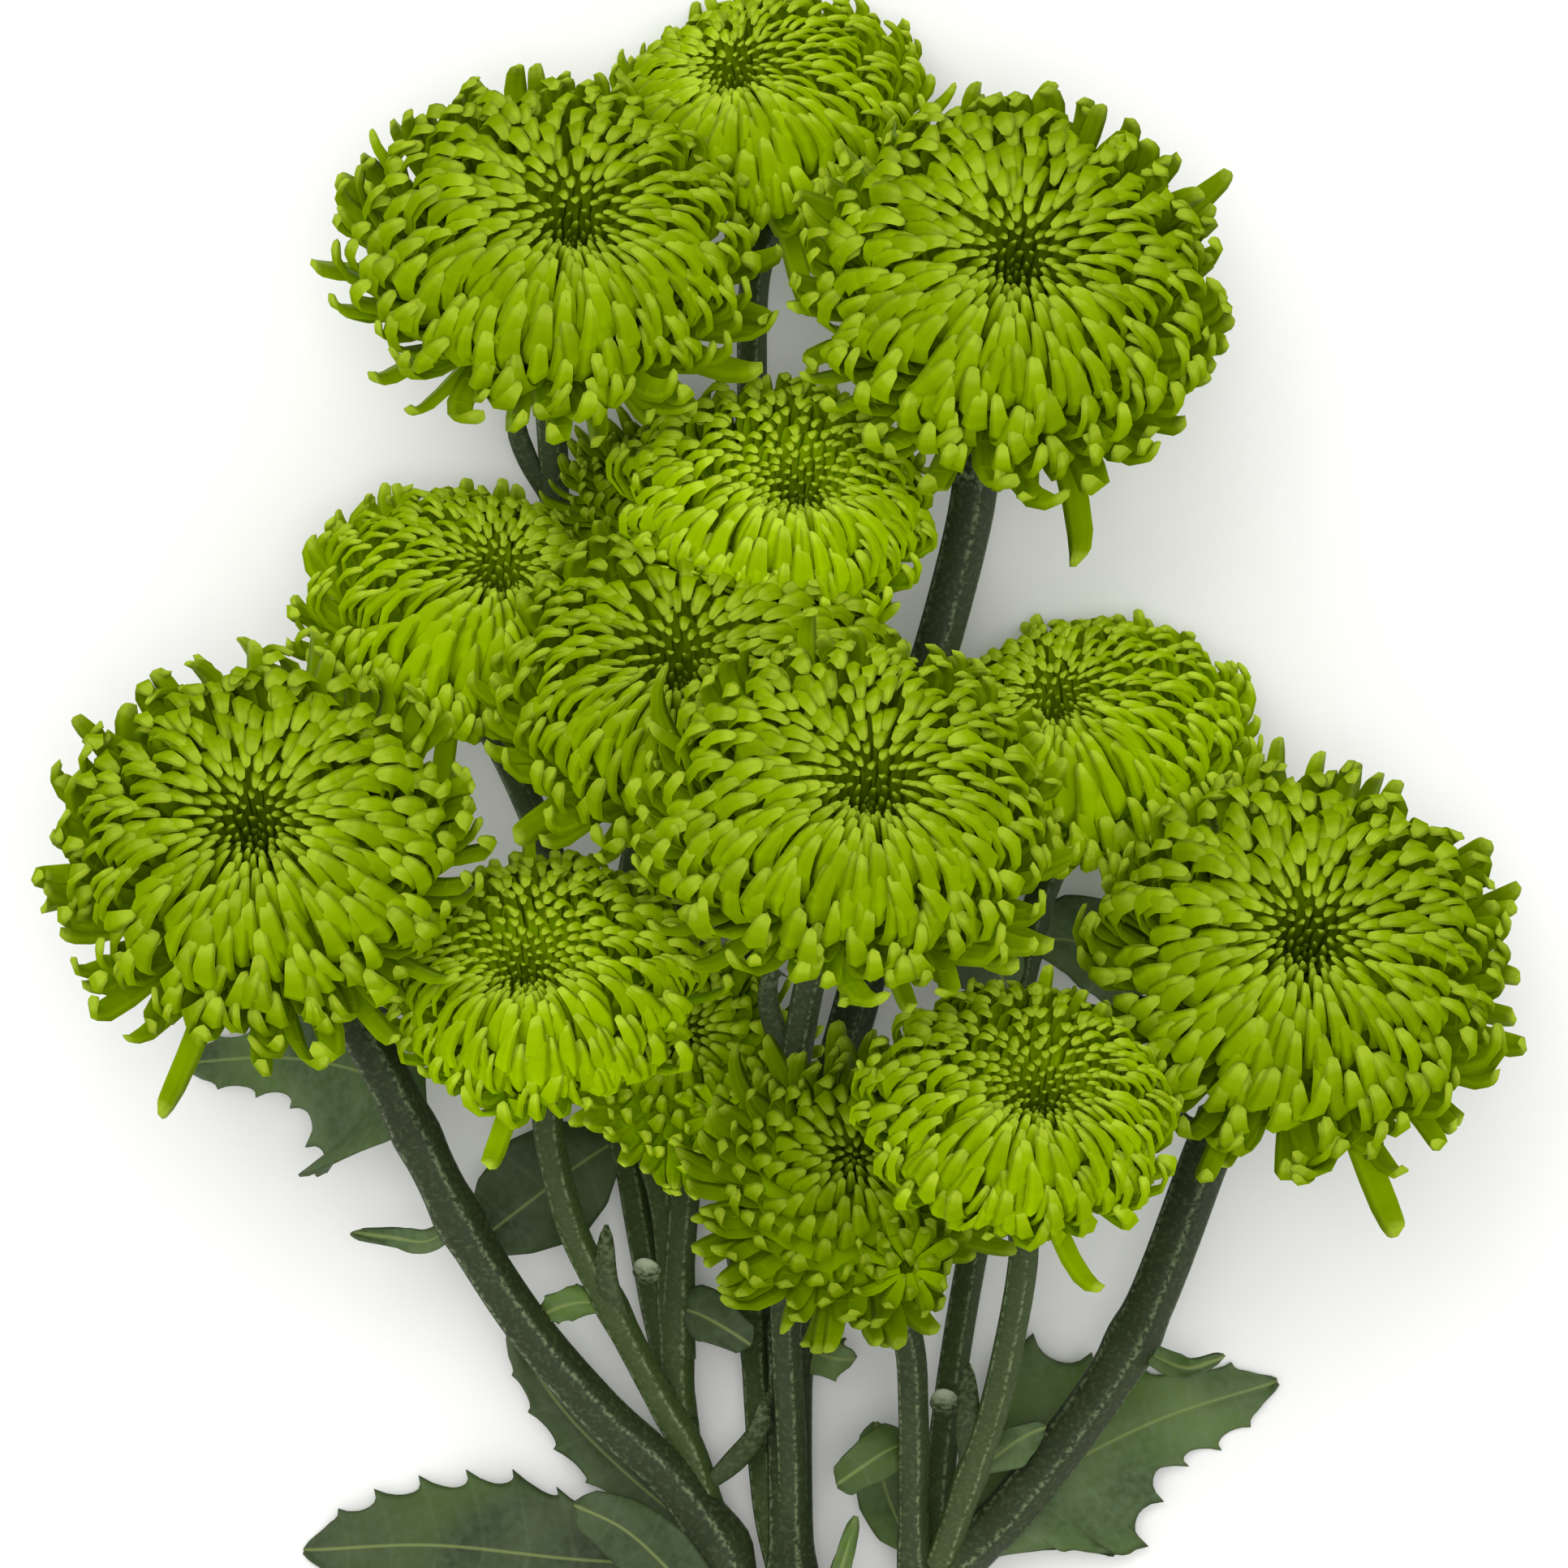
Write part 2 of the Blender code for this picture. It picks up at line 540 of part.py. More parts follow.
def topped_route(name, way, low_width, top_width, sides):
    """A stem from its joint to its bloom, where it widens into the green cup."""
    place, radius, right, up, forward = bloom_frame(name)
    seat = place + forward * (radius * BLOOM_UNDERSIDE - TOUCH_GAP)
    neck = seat - forward * CUP_HEIGHT
    route = [Vector(point) for point in way]
    route.append(neck - forward * STRAIGHT_STALK)
    count = len(route)
    half_widths = [low_width + (top_width - low_width) * index / count for index in range(count)]
    route.append(neck)
    half_widths.append(max(NECK_LEAST, top_width * NECK_SHARE))
    route.append(seat - forward * CUP_HEIGHT * CUP_SHOULDER)
    half_widths.append(radius * CUP_RADIUS)
    route.append(seat)
    half_widths.append(radius * CUP_RADIUS * CUP_FLARE)
    return route, half_widths, sides


def scale_mesh(half_width, way):
    """A small flat scale leaf that tapers to its tip."""
    route = [Vector(point) for point in way]
    count = len(route)
    half_widths = [half_width * (1 - SCALE_TAPER * index / (count - 1)) for index in range(count)]
    return tube_mesh(route, half_widths, SCALE_SIDES)


def build_stem(material):
    """The branched stem, with its cups, its stubs and its scale leaves."""
    tubes = [tube_mesh(*route) for route in stalk_routes()]
    tubes.extend(scale_mesh(half_width, way) for half_width, way in SCALES.values())
    mesh = combine(tubes[0], tubes[1:], "UNION")
    return add_object("stem", mesh, material)


def stem_clearance():
    """The stem, fatter by the gap that the leaves keep from it."""
    return [tube_mesh(route, [half_width + TOUCH_GAP for half_width in half_widths], sides)
            for route, half_widths, sides in stalk_routes()]


def width_at(widths, t):
    """The half width at a share of the leaf's length, between the listed ones."""
    spot = t * (len(widths) - 1)
    low = min(int(spot), len(widths) - 2)
    return widths[low] + (widths[low + 1] - widths[low]) * (spot - low)


def leaf_rows(name):
    """Across each station of a leaf: its midrib, then a notch and a tooth on each side.

    Each row comes with the direction that the leaf's upper face looks in there.
    """
    way, left, right, droop = LEAVES[name]
    rib = smooth_route(way, RIB_STEPS)
    length = sum((far - near).length for near, far in zip(rib, rib[1:]))
    teeth = max(FEWEST_TEETH, round(length / TOOTH_SPACING))
    stations = []
    for index in range(teeth + 1):
        spot = index / teeth * (len(rib) - 1)
        low = min(int(spot), len(rib) - 2)
        stations.append(rib[low].lerp(rib[low + 1], spot - low))
    rows = []
    for index, centre in enumerate(stations):
        t = index / teeth
        ahead = (stations[min(index + 1, teeth)] - stations[max(index - 1, 0)]).normalized()
        side = Vector((0, 0, 1)).cross(ahead).normalized()
        top = ahead.cross(side)
        row = [centre]
        for widths, sign in ((left, 1), (right, -1)):
            notch = width_at(widths, t) * (NOTCH_WIDTH if 0 < index < teeth else 1.0)
            tooth = width_at(widths, min(1.0, t + TOOTH_LEAN / teeth)) * TOOTH_WIDTH
            tooth_root = centre + ahead * length * TOOTH_LEAN / teeth
            row.append(centre + side * sign * notch - top * notch * droop)
            row.append(tooth_root + side * sign * tooth - top * tooth * droop * TOOTH_DROOP)
        rows.append((row, top))
    return rows


def build_leaf(name, material):
    """A thin blade with a cut edge, clear of the stem that it grows from."""
    rows = leaf_rows(name)
    teeth = len(rows) - 1
    points = []
    for row, top in rows:
        for half in (0.5, -0.5):
            points.extend(spot + top * half * LEAF_THICKNESS for spot in row)
    faces = []
    edge = []
    for index in range(teeth):
        here = index * 10
        after = here + 10
        for bottom in (0, 5):
            a = here + bottom
            b = after + bottom
            faces.append((a, b, b + 1))
            faces.append((a, b + 1, a + 2))
            faces.append((a, a + 2, a + 1))
            faces.append((a, b + 3, b))
            faces.append((a, a + 4, b + 3))
            faces.append((a, a + 3, a + 4))
        edge.append(((here + 1, here + 2), (here + 2, after + 1)))
        edge.append(((here + 3, here + 4), (here + 4, after + 3)))
    for pairs in edge:
        for first, second in pairs:
            faces.append((first, second, second + 5, first + 5))
    last = teeth * 10
    for start in (0, last):
        faces.append((start, start + 1, start + 6, start + 5))
        faces.append((start, start + 3, start + 8, start + 5))
    used = sorted({corner for face in faces for corner in face})
    lookup = {corner: number for number, corner in enumerate(used)}
    blade = mesh_from([points[corner] for corner in used],
                      [tuple(lookup[corner] for corner in face) for face in faces])
    mesh = combine(blade, stem_clearance(), "DIFFERENCE")
    return add_object(name, mesh, material)


def main():
    clear_scene()
    petal = make_material("petal", PETAL_GREEN, 0.5)
    stem = make_material("stem", STEM_GREEN, 0.6)
    leaf = make_material("leaf", LEAF_GREEN, 0.55)
    for name in BLOOMS:
        build_bloom(name, petal)
    build_stem(stem)
    for name in LEAVES:
        build_leaf(name, leaf)


main()
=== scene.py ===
"""A cut spray of green chrysanthemums lying on a pale table, seen from straight above.

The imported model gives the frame. Every bloom, the branched stem and every leaf is replaced by
a finer piece that keeps its form: blooms of petals in spirals, ridged stems with scaly cups,
and leaves with thorned edges and sunken midribs. Places are in millimetres from the middle of
the flower head, with z as the height above the table, as in the model.
"""

import math
import random

import bmesh
import bpy
import numpy as np
from mathutils import Matrix, Vector


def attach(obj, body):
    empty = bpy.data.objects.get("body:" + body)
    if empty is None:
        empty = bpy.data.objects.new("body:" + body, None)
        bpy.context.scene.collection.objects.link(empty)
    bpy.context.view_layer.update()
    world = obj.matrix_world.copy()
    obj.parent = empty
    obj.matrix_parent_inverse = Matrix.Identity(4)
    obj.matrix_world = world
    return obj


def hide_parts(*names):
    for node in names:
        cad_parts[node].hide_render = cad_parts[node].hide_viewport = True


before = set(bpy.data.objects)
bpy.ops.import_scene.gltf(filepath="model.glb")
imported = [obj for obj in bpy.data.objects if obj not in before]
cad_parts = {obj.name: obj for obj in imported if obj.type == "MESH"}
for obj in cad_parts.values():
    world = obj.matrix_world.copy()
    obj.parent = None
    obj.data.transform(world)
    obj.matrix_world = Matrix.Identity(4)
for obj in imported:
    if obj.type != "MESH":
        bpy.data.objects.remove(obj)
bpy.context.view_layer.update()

MM = 0.001
ORIGIN = Vector((0.0, -38.2, 0.0))
GOLDEN_ANGLE = math.radians(137.508)

# Nothing goes below the first height, and petals that would end below the second are pressed
# together between the two. The third is the gap between a bloom and its cup
TABLE_GAP = 0.15
LANDING_HEIGHT = 2.0
TOUCH_GAP = 0.3

# The picture, in metres: where its middle is, the camera's height, the width that it sees on the
# table, what the lamps point at and the table's half width. The sensor is in millimetres
HEAD_MIDDLE = 0.0382
CAMERA_HEIGHT = 2.0
PICTURE_WIDTH = 0.2415
SENSOR_WIDTH = 36.0
LIT_SPOT = (0, 0.03, 0)
TABLE_HALF_WIDTH = 3.0

# Petals: rings along a petal and corners round it, in shares of its length and half width
PETAL_STATIONS = (0.0, 0.22, 0.42, 0.60, 0.75, 0.87, 0.95, 1.0)
PETAL_WIDTHS = (0.50, 0.78, 0.98, 1.0, 0.93, 0.72, 0.54, 0.40)
BLUNT_WIDTHS = (0.50, 0.78, 0.98, 1.0, 1.0, 0.92, 0.82, 0.66)
PETAL_HOLLOWS = (0.22, 0.22, 0.22, 0.16, 0.05, -0.20, -0.40, -0.40)
SECTION_ACROSS = (1.0, 0.64, 0.0, -0.64, -1.0, 0.0)
SECTION_BACK = (0.0, 0.68, 1.0, 0.68, 0.0, 0.0)
SECTION_FACE = (0.0, 0.0, 0.0, 0.0, 0.0, 1.0)
PETAL_ARCH = 0.66
FULL_FACE = 0.6
TIP_REACH = 0.30
CURL_START = 0.70

# How much the petals of a bloom differ by chance, and the share of it at the eye, widths apart
CALM_EYE = 0.25
CHANCE = {"angle": 0.07, "length": 0.045, "rim": 0.05, "rise": 0.022, "width": 0.10,
          "curl": 0.30, "twist": 0.40, "sway": 0.13}
MOST_BLUNT = 0.7

# Where things start between eye and rim, and over what span, below 0 where they end: round
# beads that turn hollow, the longer rim, and on the near side of a bloom that leans back the
# outer petals that slide to the rim and the inner ones that bow out and broaden
BEADS = (0.16, 0.15)
LONG_RIM = (0.80, 0.15)
SLIDING = (0.36, 0.2)
BOW_STARTS = (0.08, 0.1)
BOW_ENDS = (0.60, -0.2)
NEAR_BREADTH = 1.4
SLIDE = 0.9
# How far heel and shoulder bow, as (out, up)
BOW = ((0.30, -0.10), (0.34, -0.10))
BOW_BROADENING = 0.60

# Kinds of bloom, from the eye to the rim: share of the petals, root, heel, shoulder and tip as
# (out, up) in shares of the radius, half width, and how far the tip hooks in, in degrees
OPEN_RINGS = (
    (0, (0, 0.10), (0, 0.16), (0, 0.24), (0, 0.30), 0.024, 0),
    (0.035, (0.04, 0.10), (0.07, 0.18), (0.11, 0.30), (0.09, 0.36), 0.030, 0),
    (0.11, (0.07, 0.06), (0.22, 0.14), (0.33, 0.40), (0.17, 0.46), 0.040, 8),
    (0.22, (0.10, 0.02), (0.44, 0.06), (0.56, 0.45), (0.30, 0.52), 0.057, 26),
    (0.35, (0.12, -0.02), (0.58, 0), (0.72, 0.40), (0.46, 0.53), 0.066, 38),
    (0.52, (0.13, -0.04), (0.70, -0.04), (0.82, 0.28), (0.65, 0.48), 0.069, 44),
    (0.68, (0.14, -0.06), (0.77, -0.10), (0.90, 0.15), (0.81, 0.37), 0.070, 46),
    (0.85, (0.15, -0.08), (0.76, -0.16), (0.97, 0), (0.96, 0.22), 0.070, 42),
    (1, (0.16, -0.09), (0.64, -0.22), (0.94, -0.13), (1.06, 0.05), 0.068, 36),
)
CLOSED_RINGS = (
    (0, (0, 0.04), (0, 0.14), (0, 0.20), (0, 0.24), 0.032, 0),
    (0.03, (0.03, 0.04), (0.10, 0.16), (0.15, 0.26), (0.10, 0.30), 0.038, 10),
    (0.10, (0.08, 0.04), (0.20, 0.16), (0.30, 0.34), (0.20, 0.37), 0.045, 15),
    (0.24, (0.10, 0.03), (0.36, 0.08), (0.49, 0.42), (0.34, 0.46), 0.056, 26),
    (0.42, (0.12, 0), (0.60, -0.01), (0.73, 0.40), (0.53, 0.53), 0.063, 30),
    (0.62, (0.14, -0.04), (0.80, -0.07), (0.94, 0.30), (0.73, 0.48), 0.070, 38),
    (0.84, (0.16, -0.08), (0.84, -0.18), (1.03, 0.08), (0.91, 0.33), 0.073, 46),
    (1, (0.18, -0.10), (0.76, -0.24), (1.04, -0.12), (1.02, 0.12), 0.073, 54),
)
FLAT_RINGS = (
    (0, (0, 0.06), (0, 0.10), (0, 0.15), (0, 0.20), 0.034, 0),
    (0.08, (0.06, 0.04), (0.18, 0.10), (0.28, 0.26), (0.12, 0.31), 0.052, 8),
    (0.24, (0.10, 0), (0.42, 0.04), (0.54, 0.30), (0.28, 0.37), 0.072, 20),
    (0.44, (0.12, -0.03), (0.52, 0), (0.67, 0.17), (0.60, 0.33), 0.086, 34),
    (0.68, (0.13, -0.05), (0.53, -0.03), (0.76, 0.05), (0.86, 0.20), 0.092, 36),
    (1, (0.14, -0.07), (0.54, -0.09), (0.84, -0.05), (1.05, 0.05), 0.090, 32),
)

# Long blunt petals that leave the rings: compass angle, how far out and how far up their tips are
DOME_STRAYS = ((-76, 1.26, -0.42), (-66, 1.10, -0.26), (-40, 1.10, -0.16), (-14, 1.04, 0),
               (10, 1.07, 0.10), (31, 1.04, 0.18), (160, 1.02, 0.16), (186, 1.04, 0.04),
               (208, 1, -0.08), (75, 1.02, 0.22), (112, 1.04, 0.22))
WIDE_STRAYS = ((150, 1.03, 0.25), (172, 1.05, 0.10), (196, 1.07, -0.05), (214, 1.10, -0.12),
               (229, 1.08, -0.15), (-90, 0.98, -0.12), (-74, 1.02, -0.14), (-60, 1, -0.12),
               (-46, 1.07, -0.15), (-34, 1.13, -0.14), (-18, 1.10, -0.05), (2, 1.02, 0.10),
               (24, 1.02, 0.20))
BROAD_STRAYS = ((35, 1.03, 0.10), (20, 1.07, 0.06), (6, 1.03, 0.05), (-8, 1.06, 0),
                (-24, 1.02, -0.05), (-42, 1.04, -0.08), (-70, 1.28, -0.24), (-112, 1, -0.12),
                (140, 1.07, 0.18), (158, 1.05, 0.10), (177, 1.06, 0.05), (62, 1.02, 0.18),
                (84, 1.03, 0.20), (103, 1.02, 0.20))
YOUNG_STRAYS = ((73, 0.93, 0.50), (61, 0.90, 0.40), (51, 0.94, 0.32), (88, 0.90, 0.34),
                (161, 1.07, 0.22), (176, 0.97, 0.28), (203, 1.02, 0.24), (1, 1.04, 0.20),
                (17, 1.03, 0.20), (-28, 1.03, 0), (-40, 1.02, -0.05), (-105, 0.93, -0.10),
                (-73, 1.20, -0.34))
FLAT_STRAYS = ((-100, 1.04, 0), (-80, 1.02, -0.04), (170, 1.04, 0.10), (200, 1.02, 0.06))

# Kinds: rings, petals, long petals, how bare the near side of the bloom is of outer petals, and
# how far its eye is off the middle
DOME = (OPEN_RINGS, 400, DOME_STRAYS, 0.50, (-0.14, 0))
WIDE = (OPEN_RINGS, 400, WIDE_STRAYS, 0.15, (0.08, -0.12))
BROAD = (OPEN_RINGS, 400, BROAD_STRAYS, 0.10, (0, 0))
YOUNG = (CLOSED_RINGS, 380, YOUNG_STRAYS, 0.50, (0.12, -0.12))
FLAT = (FLAT_RINGS, 215, FLAT_STRAYS, 0.0, (0.05, 0.18))

# Every bloom: place, radius, the way it faces, its kind, -1 where it is turned left to right,
# and how fresh its green is, partly its own green, duller in some blooms, and partly painted
# light: the values past LIFT_START lift the tone of blooms that lie low in the shade of others
BLOOMS = {
    "bloom_01": ((-2.7, 100.5, 18.3), 25, (-0.15, 0.70, 0.70), DOME, 1, 0.96),
    "bloom_02": ((-35, 79.5, 42), 31.3, (0.06, 0.55, 0.83), WIDE, 1, 0.77),
    "bloom_03": ((34, 73.5, 46), 32, (0.06, 0.36, 0.93), BROAD, 1, 0.77),
    "bloom_04": ((-1.2, 41, 37), 23.5, (0.08, 0.68, 0.73), YOUNG, 1, 1.2),
    "bloom_05": ((-19.9, 42, 20), 16, (-0.10, 0.45, 0.88), FLAT, 1, 0.66),
    "bloom_06": ((-48, 24, 27), 26, (0.15, 0.70, 0.70), DOME, -1, 1),
    "bloom_07": ((-11.9, 13.2, 50), 31.3, (-0.06, 0.55, 0.83), WIDE, -1, 0.77),
    "bloom_08": ((9.5, -5.3, 82), 30.9, (0.06, 0.55, 0.83), WIDE, 1, 0.77),
    "bloom_09": ((46.3, 4.6, 18.2), 25.7, (-0.15, 0.70, 0.70), DOME, 1, 1.2),
    "bloom_10": ((-78, -11, 55), 31.6, (-0.06, 0.36, 0.93), BROAD, -1, 0.77),
    "bloom_11": ((77.3, -28.2, 45), 32.2, (0.06, 0.36, 0.93), BROAD, 1, 0.77),
    "bloom_12": ((-35, -31.2, 48), 23.6, (-0.10, 0.68, 0.73), YOUNG, -1, 1.05),
    "bloom_13": ((-14.2, -42.6, 29.6), 20, (-0.02, 0.30, 0.95), FLAT, -1, 1.2),
    "bloom_14": ((34.5, -50, 65), 23.4, (0.10, 0.68, 0.73), YOUNG, 1, 0.94),
    "bloom_15": ((8.9, -61.5, 56), 23.6, (0.05, 0.30, 0.95), FLAT, 1, 0.52),
}

# Small side rosettes: compass angle, how far out, how far up, and their own radius
ROSETTES = {
    "bloom_13": (245, 0.52, 0.30, 0.34),
    "bloom_15": (-55, 0.66, 0.26, 0.34),
}

# Stems: half width, at the bottom and at the top for the branches, then the way from the joint up
# to the bloom
MAIN_JOINT = (2.4, -148, 7.5)
MAIN_ROUTE = ((2.4, -198, 3.70), (2.4, -182, 3.71), (2.4, -166, 4.6), MAIN_JOINT)
MAIN_HALF_WIDTH = 4.0
BRANCHES = {
    "bloom_03": (3.4, 3.5, (MAIN_JOINT, (1, -121, 10), (1.1, -84, 10), (5.5, -54, 10),
                            (13.6, -23, 10), (17, 1, 11.5), (23.2, 21, 16), (28, 40, 24),
                            (30, 54, 30))),
    "bloom_10": (3.5, 3.4, (MAIN_JOINT, (-4, -134, 8.5), (-9.5, -118, 9.5), (-17.5, -106, 12),
                            (-28, -96, 15), (-39, -83, 20), (-48.5, -68, 26), (-56, -53, 31),
                            (-63, -39, 37))),
    "bloom_11": (3.7, 3.7, (MAIN_JOINT, (13, -135, 8.5), (25, -120, 9.5), (35.5, -110, 11),
                            (53, -85, 17), (65, -54, 26), (71, -42, 31))),
}
STALKS = {
    "bloom_01": (2.3, ((1, -124, 9.5), (-2.6, -111, 8), (-4.5, -84, 7), (-5, -54, 6),
                       (-5, -17, 5.5), (-4, 14, 5), (-4.5, 40, 5), (-5, 60, 6), (-4.5, 78, 8))),
    "bloom_02": (2.3, ((-4.5, -84, 7), (-7.6, -67, 6), (-10.7, -42, 5), (-17, -14, 4),
                       (-24.5, 8, 3), (-31, 26, 3), (-35, 41, 4.5), (-35.5, 51, 9),
                       (-36, 61, 17))),
    "bloom_04": (2.3, ((-4.5, 5, 5), (-4.2, 18, 9), (-3, 28, 18))),
    "bloom_05": (2.2, ((-4.5, 0, 5), (-9, 17, 6), (-15, 29, 8))),
    "bloom_06": (2.3, ((-13, -114, 10), (-16, -97, 9), (-21, -74, 9), (-24.5, -54, 8.5),
                       (-28, -35, 8), (-34.5, -15, 9), (-41, 1, 12), (-46, 10, 15))),
    "bloom_07": (2.3, ((-16, -97, 9.5), (-18, -67, 12), (-21, -54, 13), (-22.5, -35, 15),
                       (-23.5, -17, 18), (-21, -7, 23), (-15, 0, 31))),
    "bloom_08": (2.3, ((1, -121, 10), (1.1, -104, 13), (0.2, -84, 20), (-0.5, -60, 31),
                       (1.5, -43, 42), (4.2, -28, 56))),
    "bloom_09": (2.3, ((23, -122, 9.5), (24, -104, 9), (26.7, -84, 9), (31, -60, 8),
                       (35.5, -34, 8), (39, -18, 9), (44, -8, 10))),
    "bloom_12": (2.3, ((-10, -117, 9.5), (-14, -103, 11), (-18.5, -95, 13), (-26.5, -79.5, 19),
                       (-32.7, -66.4, 25), (-36, -50, 33))),
    "bloom_13": (2.3, ((-16.3, -88, 10), (-16, -72, 13), (-14.5, -55, 17))),
    "bloom_14": (2.25, ((23, -122, 10), (28, -107, 18), (32.5, -92, 29), (36, -70, 46))),
    "bloom_15": (2.3, ((20, -125, 9.5), (19.7, -110, 15), (19.6, -96, 24), (18.5, -83, 32),
                       (13, -71, 42))),
}
STRAIGHT_STALK = 7.0
BLOOM_UNDERSIDE = -0.14
CUP_RADIUS = 0.19
CUP_HEIGHT = 4.0
STEM_CORNERS = 20
STEM_STEP = 2.0
STEM_RIDGES = 5
RIDGE_HEIGHT = 0.055
JOINT_SWELLING = 0.16
JOINT_LENGTH = 3.5
RIM_TO_SEAT = 32.0
RIM_HEIGHT = 1.3
RIM_TAPER = 1.5
RIM_SWELLING = 0.09
ABOVE_RIM = 0.70

# How pale the down is, where it is, and how lively the green of each stem
RIM_PALENESS = 0.9
CUP_PALENESS = 0.8
CUP_PALE_LENGTH = 3
SCALE_PALENESS = 0.7
BUD_PALENESS = 2.0
MAIN_TONE = 0.2
BRANCH_TONE = 0.1
STALK_TONES = (0.2, 0.6)
SCALE_TONE = 0.3
CUP_TONE = 0.9

# Two rings of scales round each cup: how many, how far below the seat each foot and tip is, and
# how far out the tip, in shares of the bloom's radius
CUP_SCALES = ((9, 3.2, 0.4, 0.24), (11, 2.2, -1.4, 0.30))
CUP_SCALE_HALF_WIDTH = 1.0
CUP_SCALE_FLATNESS = 0.4
CUP_SCALE_RISE = 1.6
CUP_SCALE_SINK = 0.75
CUP_SCALE_BULGE = 0.02
CUP_SCALE_CHANCE = 0.08

# Scale leaves, stubs and buds on the stem: half width, and the way from inside the stem to the tip
SCALES = {
    "bract_left": (1.6, ((-36, 43, 6), (-39, 49, 9), (-41, 55, 12), (-39.5, 59, 14),
                         (-37.5, 57, 15))),
    "bract_middle": (1.6, ((1.6, -44, 41), (-1, -38, 43), (-2.5, -32, 46), (-1.5, -28, 48),
                           (0.5, -29, 50))),
    "stub_right": (1.7, ((29, 51, 28), (24, 52, 30), (22, 55, 31))),
    "stub_left": (1.7, ((-63, -34, 38), (-59, -34, 40), (-57, -31, 41))),
    "stub_far_right": (1.7, ((66, -52, 27), (61, -51, 29), (59, -48, 30))),
    "scale_left": (1.8, ((-24, -83, 18), (-27, -76, 23), (-27, -67, 25))),
    "scale_right": (1.8, ((28, -105, 19), (28, -97, 24), (28, -88, 26))),
    "scale_centre": (1.7, ((-12.5, -108, 10), (-8, -104, 13), (-4, -99, 14), (-2.5, -93, 15))),
    "bud_left": (2.2, ((-20.5, -77, 9.5), (-21, -74, 13), (-21.5, -72.5, 15))),
    "bud_right": (2.2, ((24.8, -97, 9.5), (24.6, -94, 13), (24.4, -92.5, 15))),
}
SCALE_STATIONS = 12
SCALE_CORNERS = 12
SCALE_STEP = 0.5
SCALE_FLATNESS = 0.45
SCALE_FULLNESS = 1.15
SCALE_FOOT = 0.6
SCALE_GROWTH = 2.2
SCALE_DIP = 0.6
SCALE_MIDLINE = 0.92

# Leaves: the midrib's way from inside the stem to the tip, the half widths on its left and on
# its right as it grows, once where they are the same, and how far the edges droop
LEAVES = {
    "leaf_01": (((-55, -52, 30), (-62, -45, 20), (-76, -42, 9), (-93, -43, 0.9)),
                (1, 19, 16, 7, 5, 2), (1, 6, 8, 6, 4, 2), 0.10),
    "leaf_02": (((-24.5, -54, 8.5), (-31, -58, 11), (-39, -64, 12), (-48, -71, 10)),
                (1, 8, 10, 7, 2), (1, 8, 10, 8, 2), 0.10),
    "leaf_03": (((-49.5, -66, 26.5), (-54, -69.5, 24), (-60, -69, 22), (-66, -68.5, 20)),
                (0.8, 1.6, 2, 1.2, 0.7), 0.15),
    "leaf_04": (((-11, -120, 9.5), (-32, -119, 7), (-54, -117, 4), (-74, -118, 0.9)),
                (1.2, 9, 12, 10, 3), (1.2, 8, 12, 9, 3), 0.08),
    "leaf_05": (((-11, -130, 9), (-16, -122, 15), (-24, -114, 19), (-32, -110, 18)),
                (1, 5, 6, 5, 3), 0.12),
    "leaf_06": (((28, -118, 10), (38, -108, 7), (57, -98, 3), (76, -92, 0.9)),
                (1.2, 8, 22, 9, 6, 2), (1.2, 12, 18, 8, 7, 2), 0.08),
    "leaf_07": (((53, -85, 17), (58, -88, 19), (62, -89, 21), (67, -87, 22)),
                (0.8, 1.6, 2, 1.2, 0.7), 0.15),
    "leaf_08": (((36, -34, 8), (32, -28, 14), (24, -23, 18), (14, -22, 20)),
                (1, 6, 7, 6, 3), (1, 5, 6, 5, 3), 0.10),
    "leaf_09": (((37, -24, 9), (44, -24, 8), (50, -27, 7), (53, -34, 6)),
                (1, 7, 8, 6, 3), (1, 5, 7, 6, 3), 0.10),
    "leaf_10": (((-17, -80, 11), (-13, -81, 16), (-9, -83, 19), (-5, -85.5, 19)),
                (1.5, 4.5, 4.5, 3.4, 2.6), (1, 4, 4, 3, 2.4), 0.15),
    "leaf_11": (((20.5, -100, 17), (16, -101.5, 20), (12, -104, 21), (8, -107, 19)),
                (1.5, 4, 4, 3.2, 2.6), (1, 4, 4, 3.2, 2.4), 0.15),
    "leaf_12": (((20, -118, 13), (17, -112, 8), (15, -106, 6), (14, -98, 5)),
                (1, 4, 5, 4, 2), 0.12),
    "leaf_13": (((-26.5, -79.5, 19), (-31, -79, 21), (-35, -80, 21), (-38, -82, 19)),
                (0.8, 2, 3, 2, 1), 0.20),
    "leaf_14": (((1.1, -84, 10), (5, -87, 11), (8, -88, 12), (11, -88, 11)),
                (0.8, 3, 4, 3, 1), 0.15),
    "leaf_15": (((28.5, -105, 18), (32, -103, 17), (36, -100, 18), (40, -98, 17)),
                (0.8, 2, 3, 2, 1), (0.8, 2, 4, 3, 1), 0.15),
    "leaf_16": (((3, -136, 9), (7, -127, 12), (9, -119, 14), (11, -112, 14)),
                (0.8, 1.5, 2, 1.5, 0.7), 0.15),
    "leaf_17": (((-10, -117, 9.5), (-23, -107, 6), (-34, -96, 6), (-42, -84, 8)),
                (1, 4, 5, 4, 2), 0.10),
}
LEAF_THICKNESS = 0.5
LEAF_STEP = 1.0
THORNY = ("leaf_01", "leaf_04", "leaf_06", "leaf_13", "leaf_14", "leaf_17")
DARK_LEAVES = ("leaf_02", "leaf_04", "leaf_05", "leaf_08", "leaf_10", "leaf_11", "leaf_17")
THORN_SPACING = 7.0
FEWEST_THORNS = 3
STEPS_PER_THORN = 8
LEAF_COLUMNS = 16
LEAF_SLANT = 0.20
THORN_LENGTH = 0.9
SCALLOP_DEPTH = 2.2
FULL_SCALLOP_WIDTH = 9.0
THORN_LEAN = 1.8
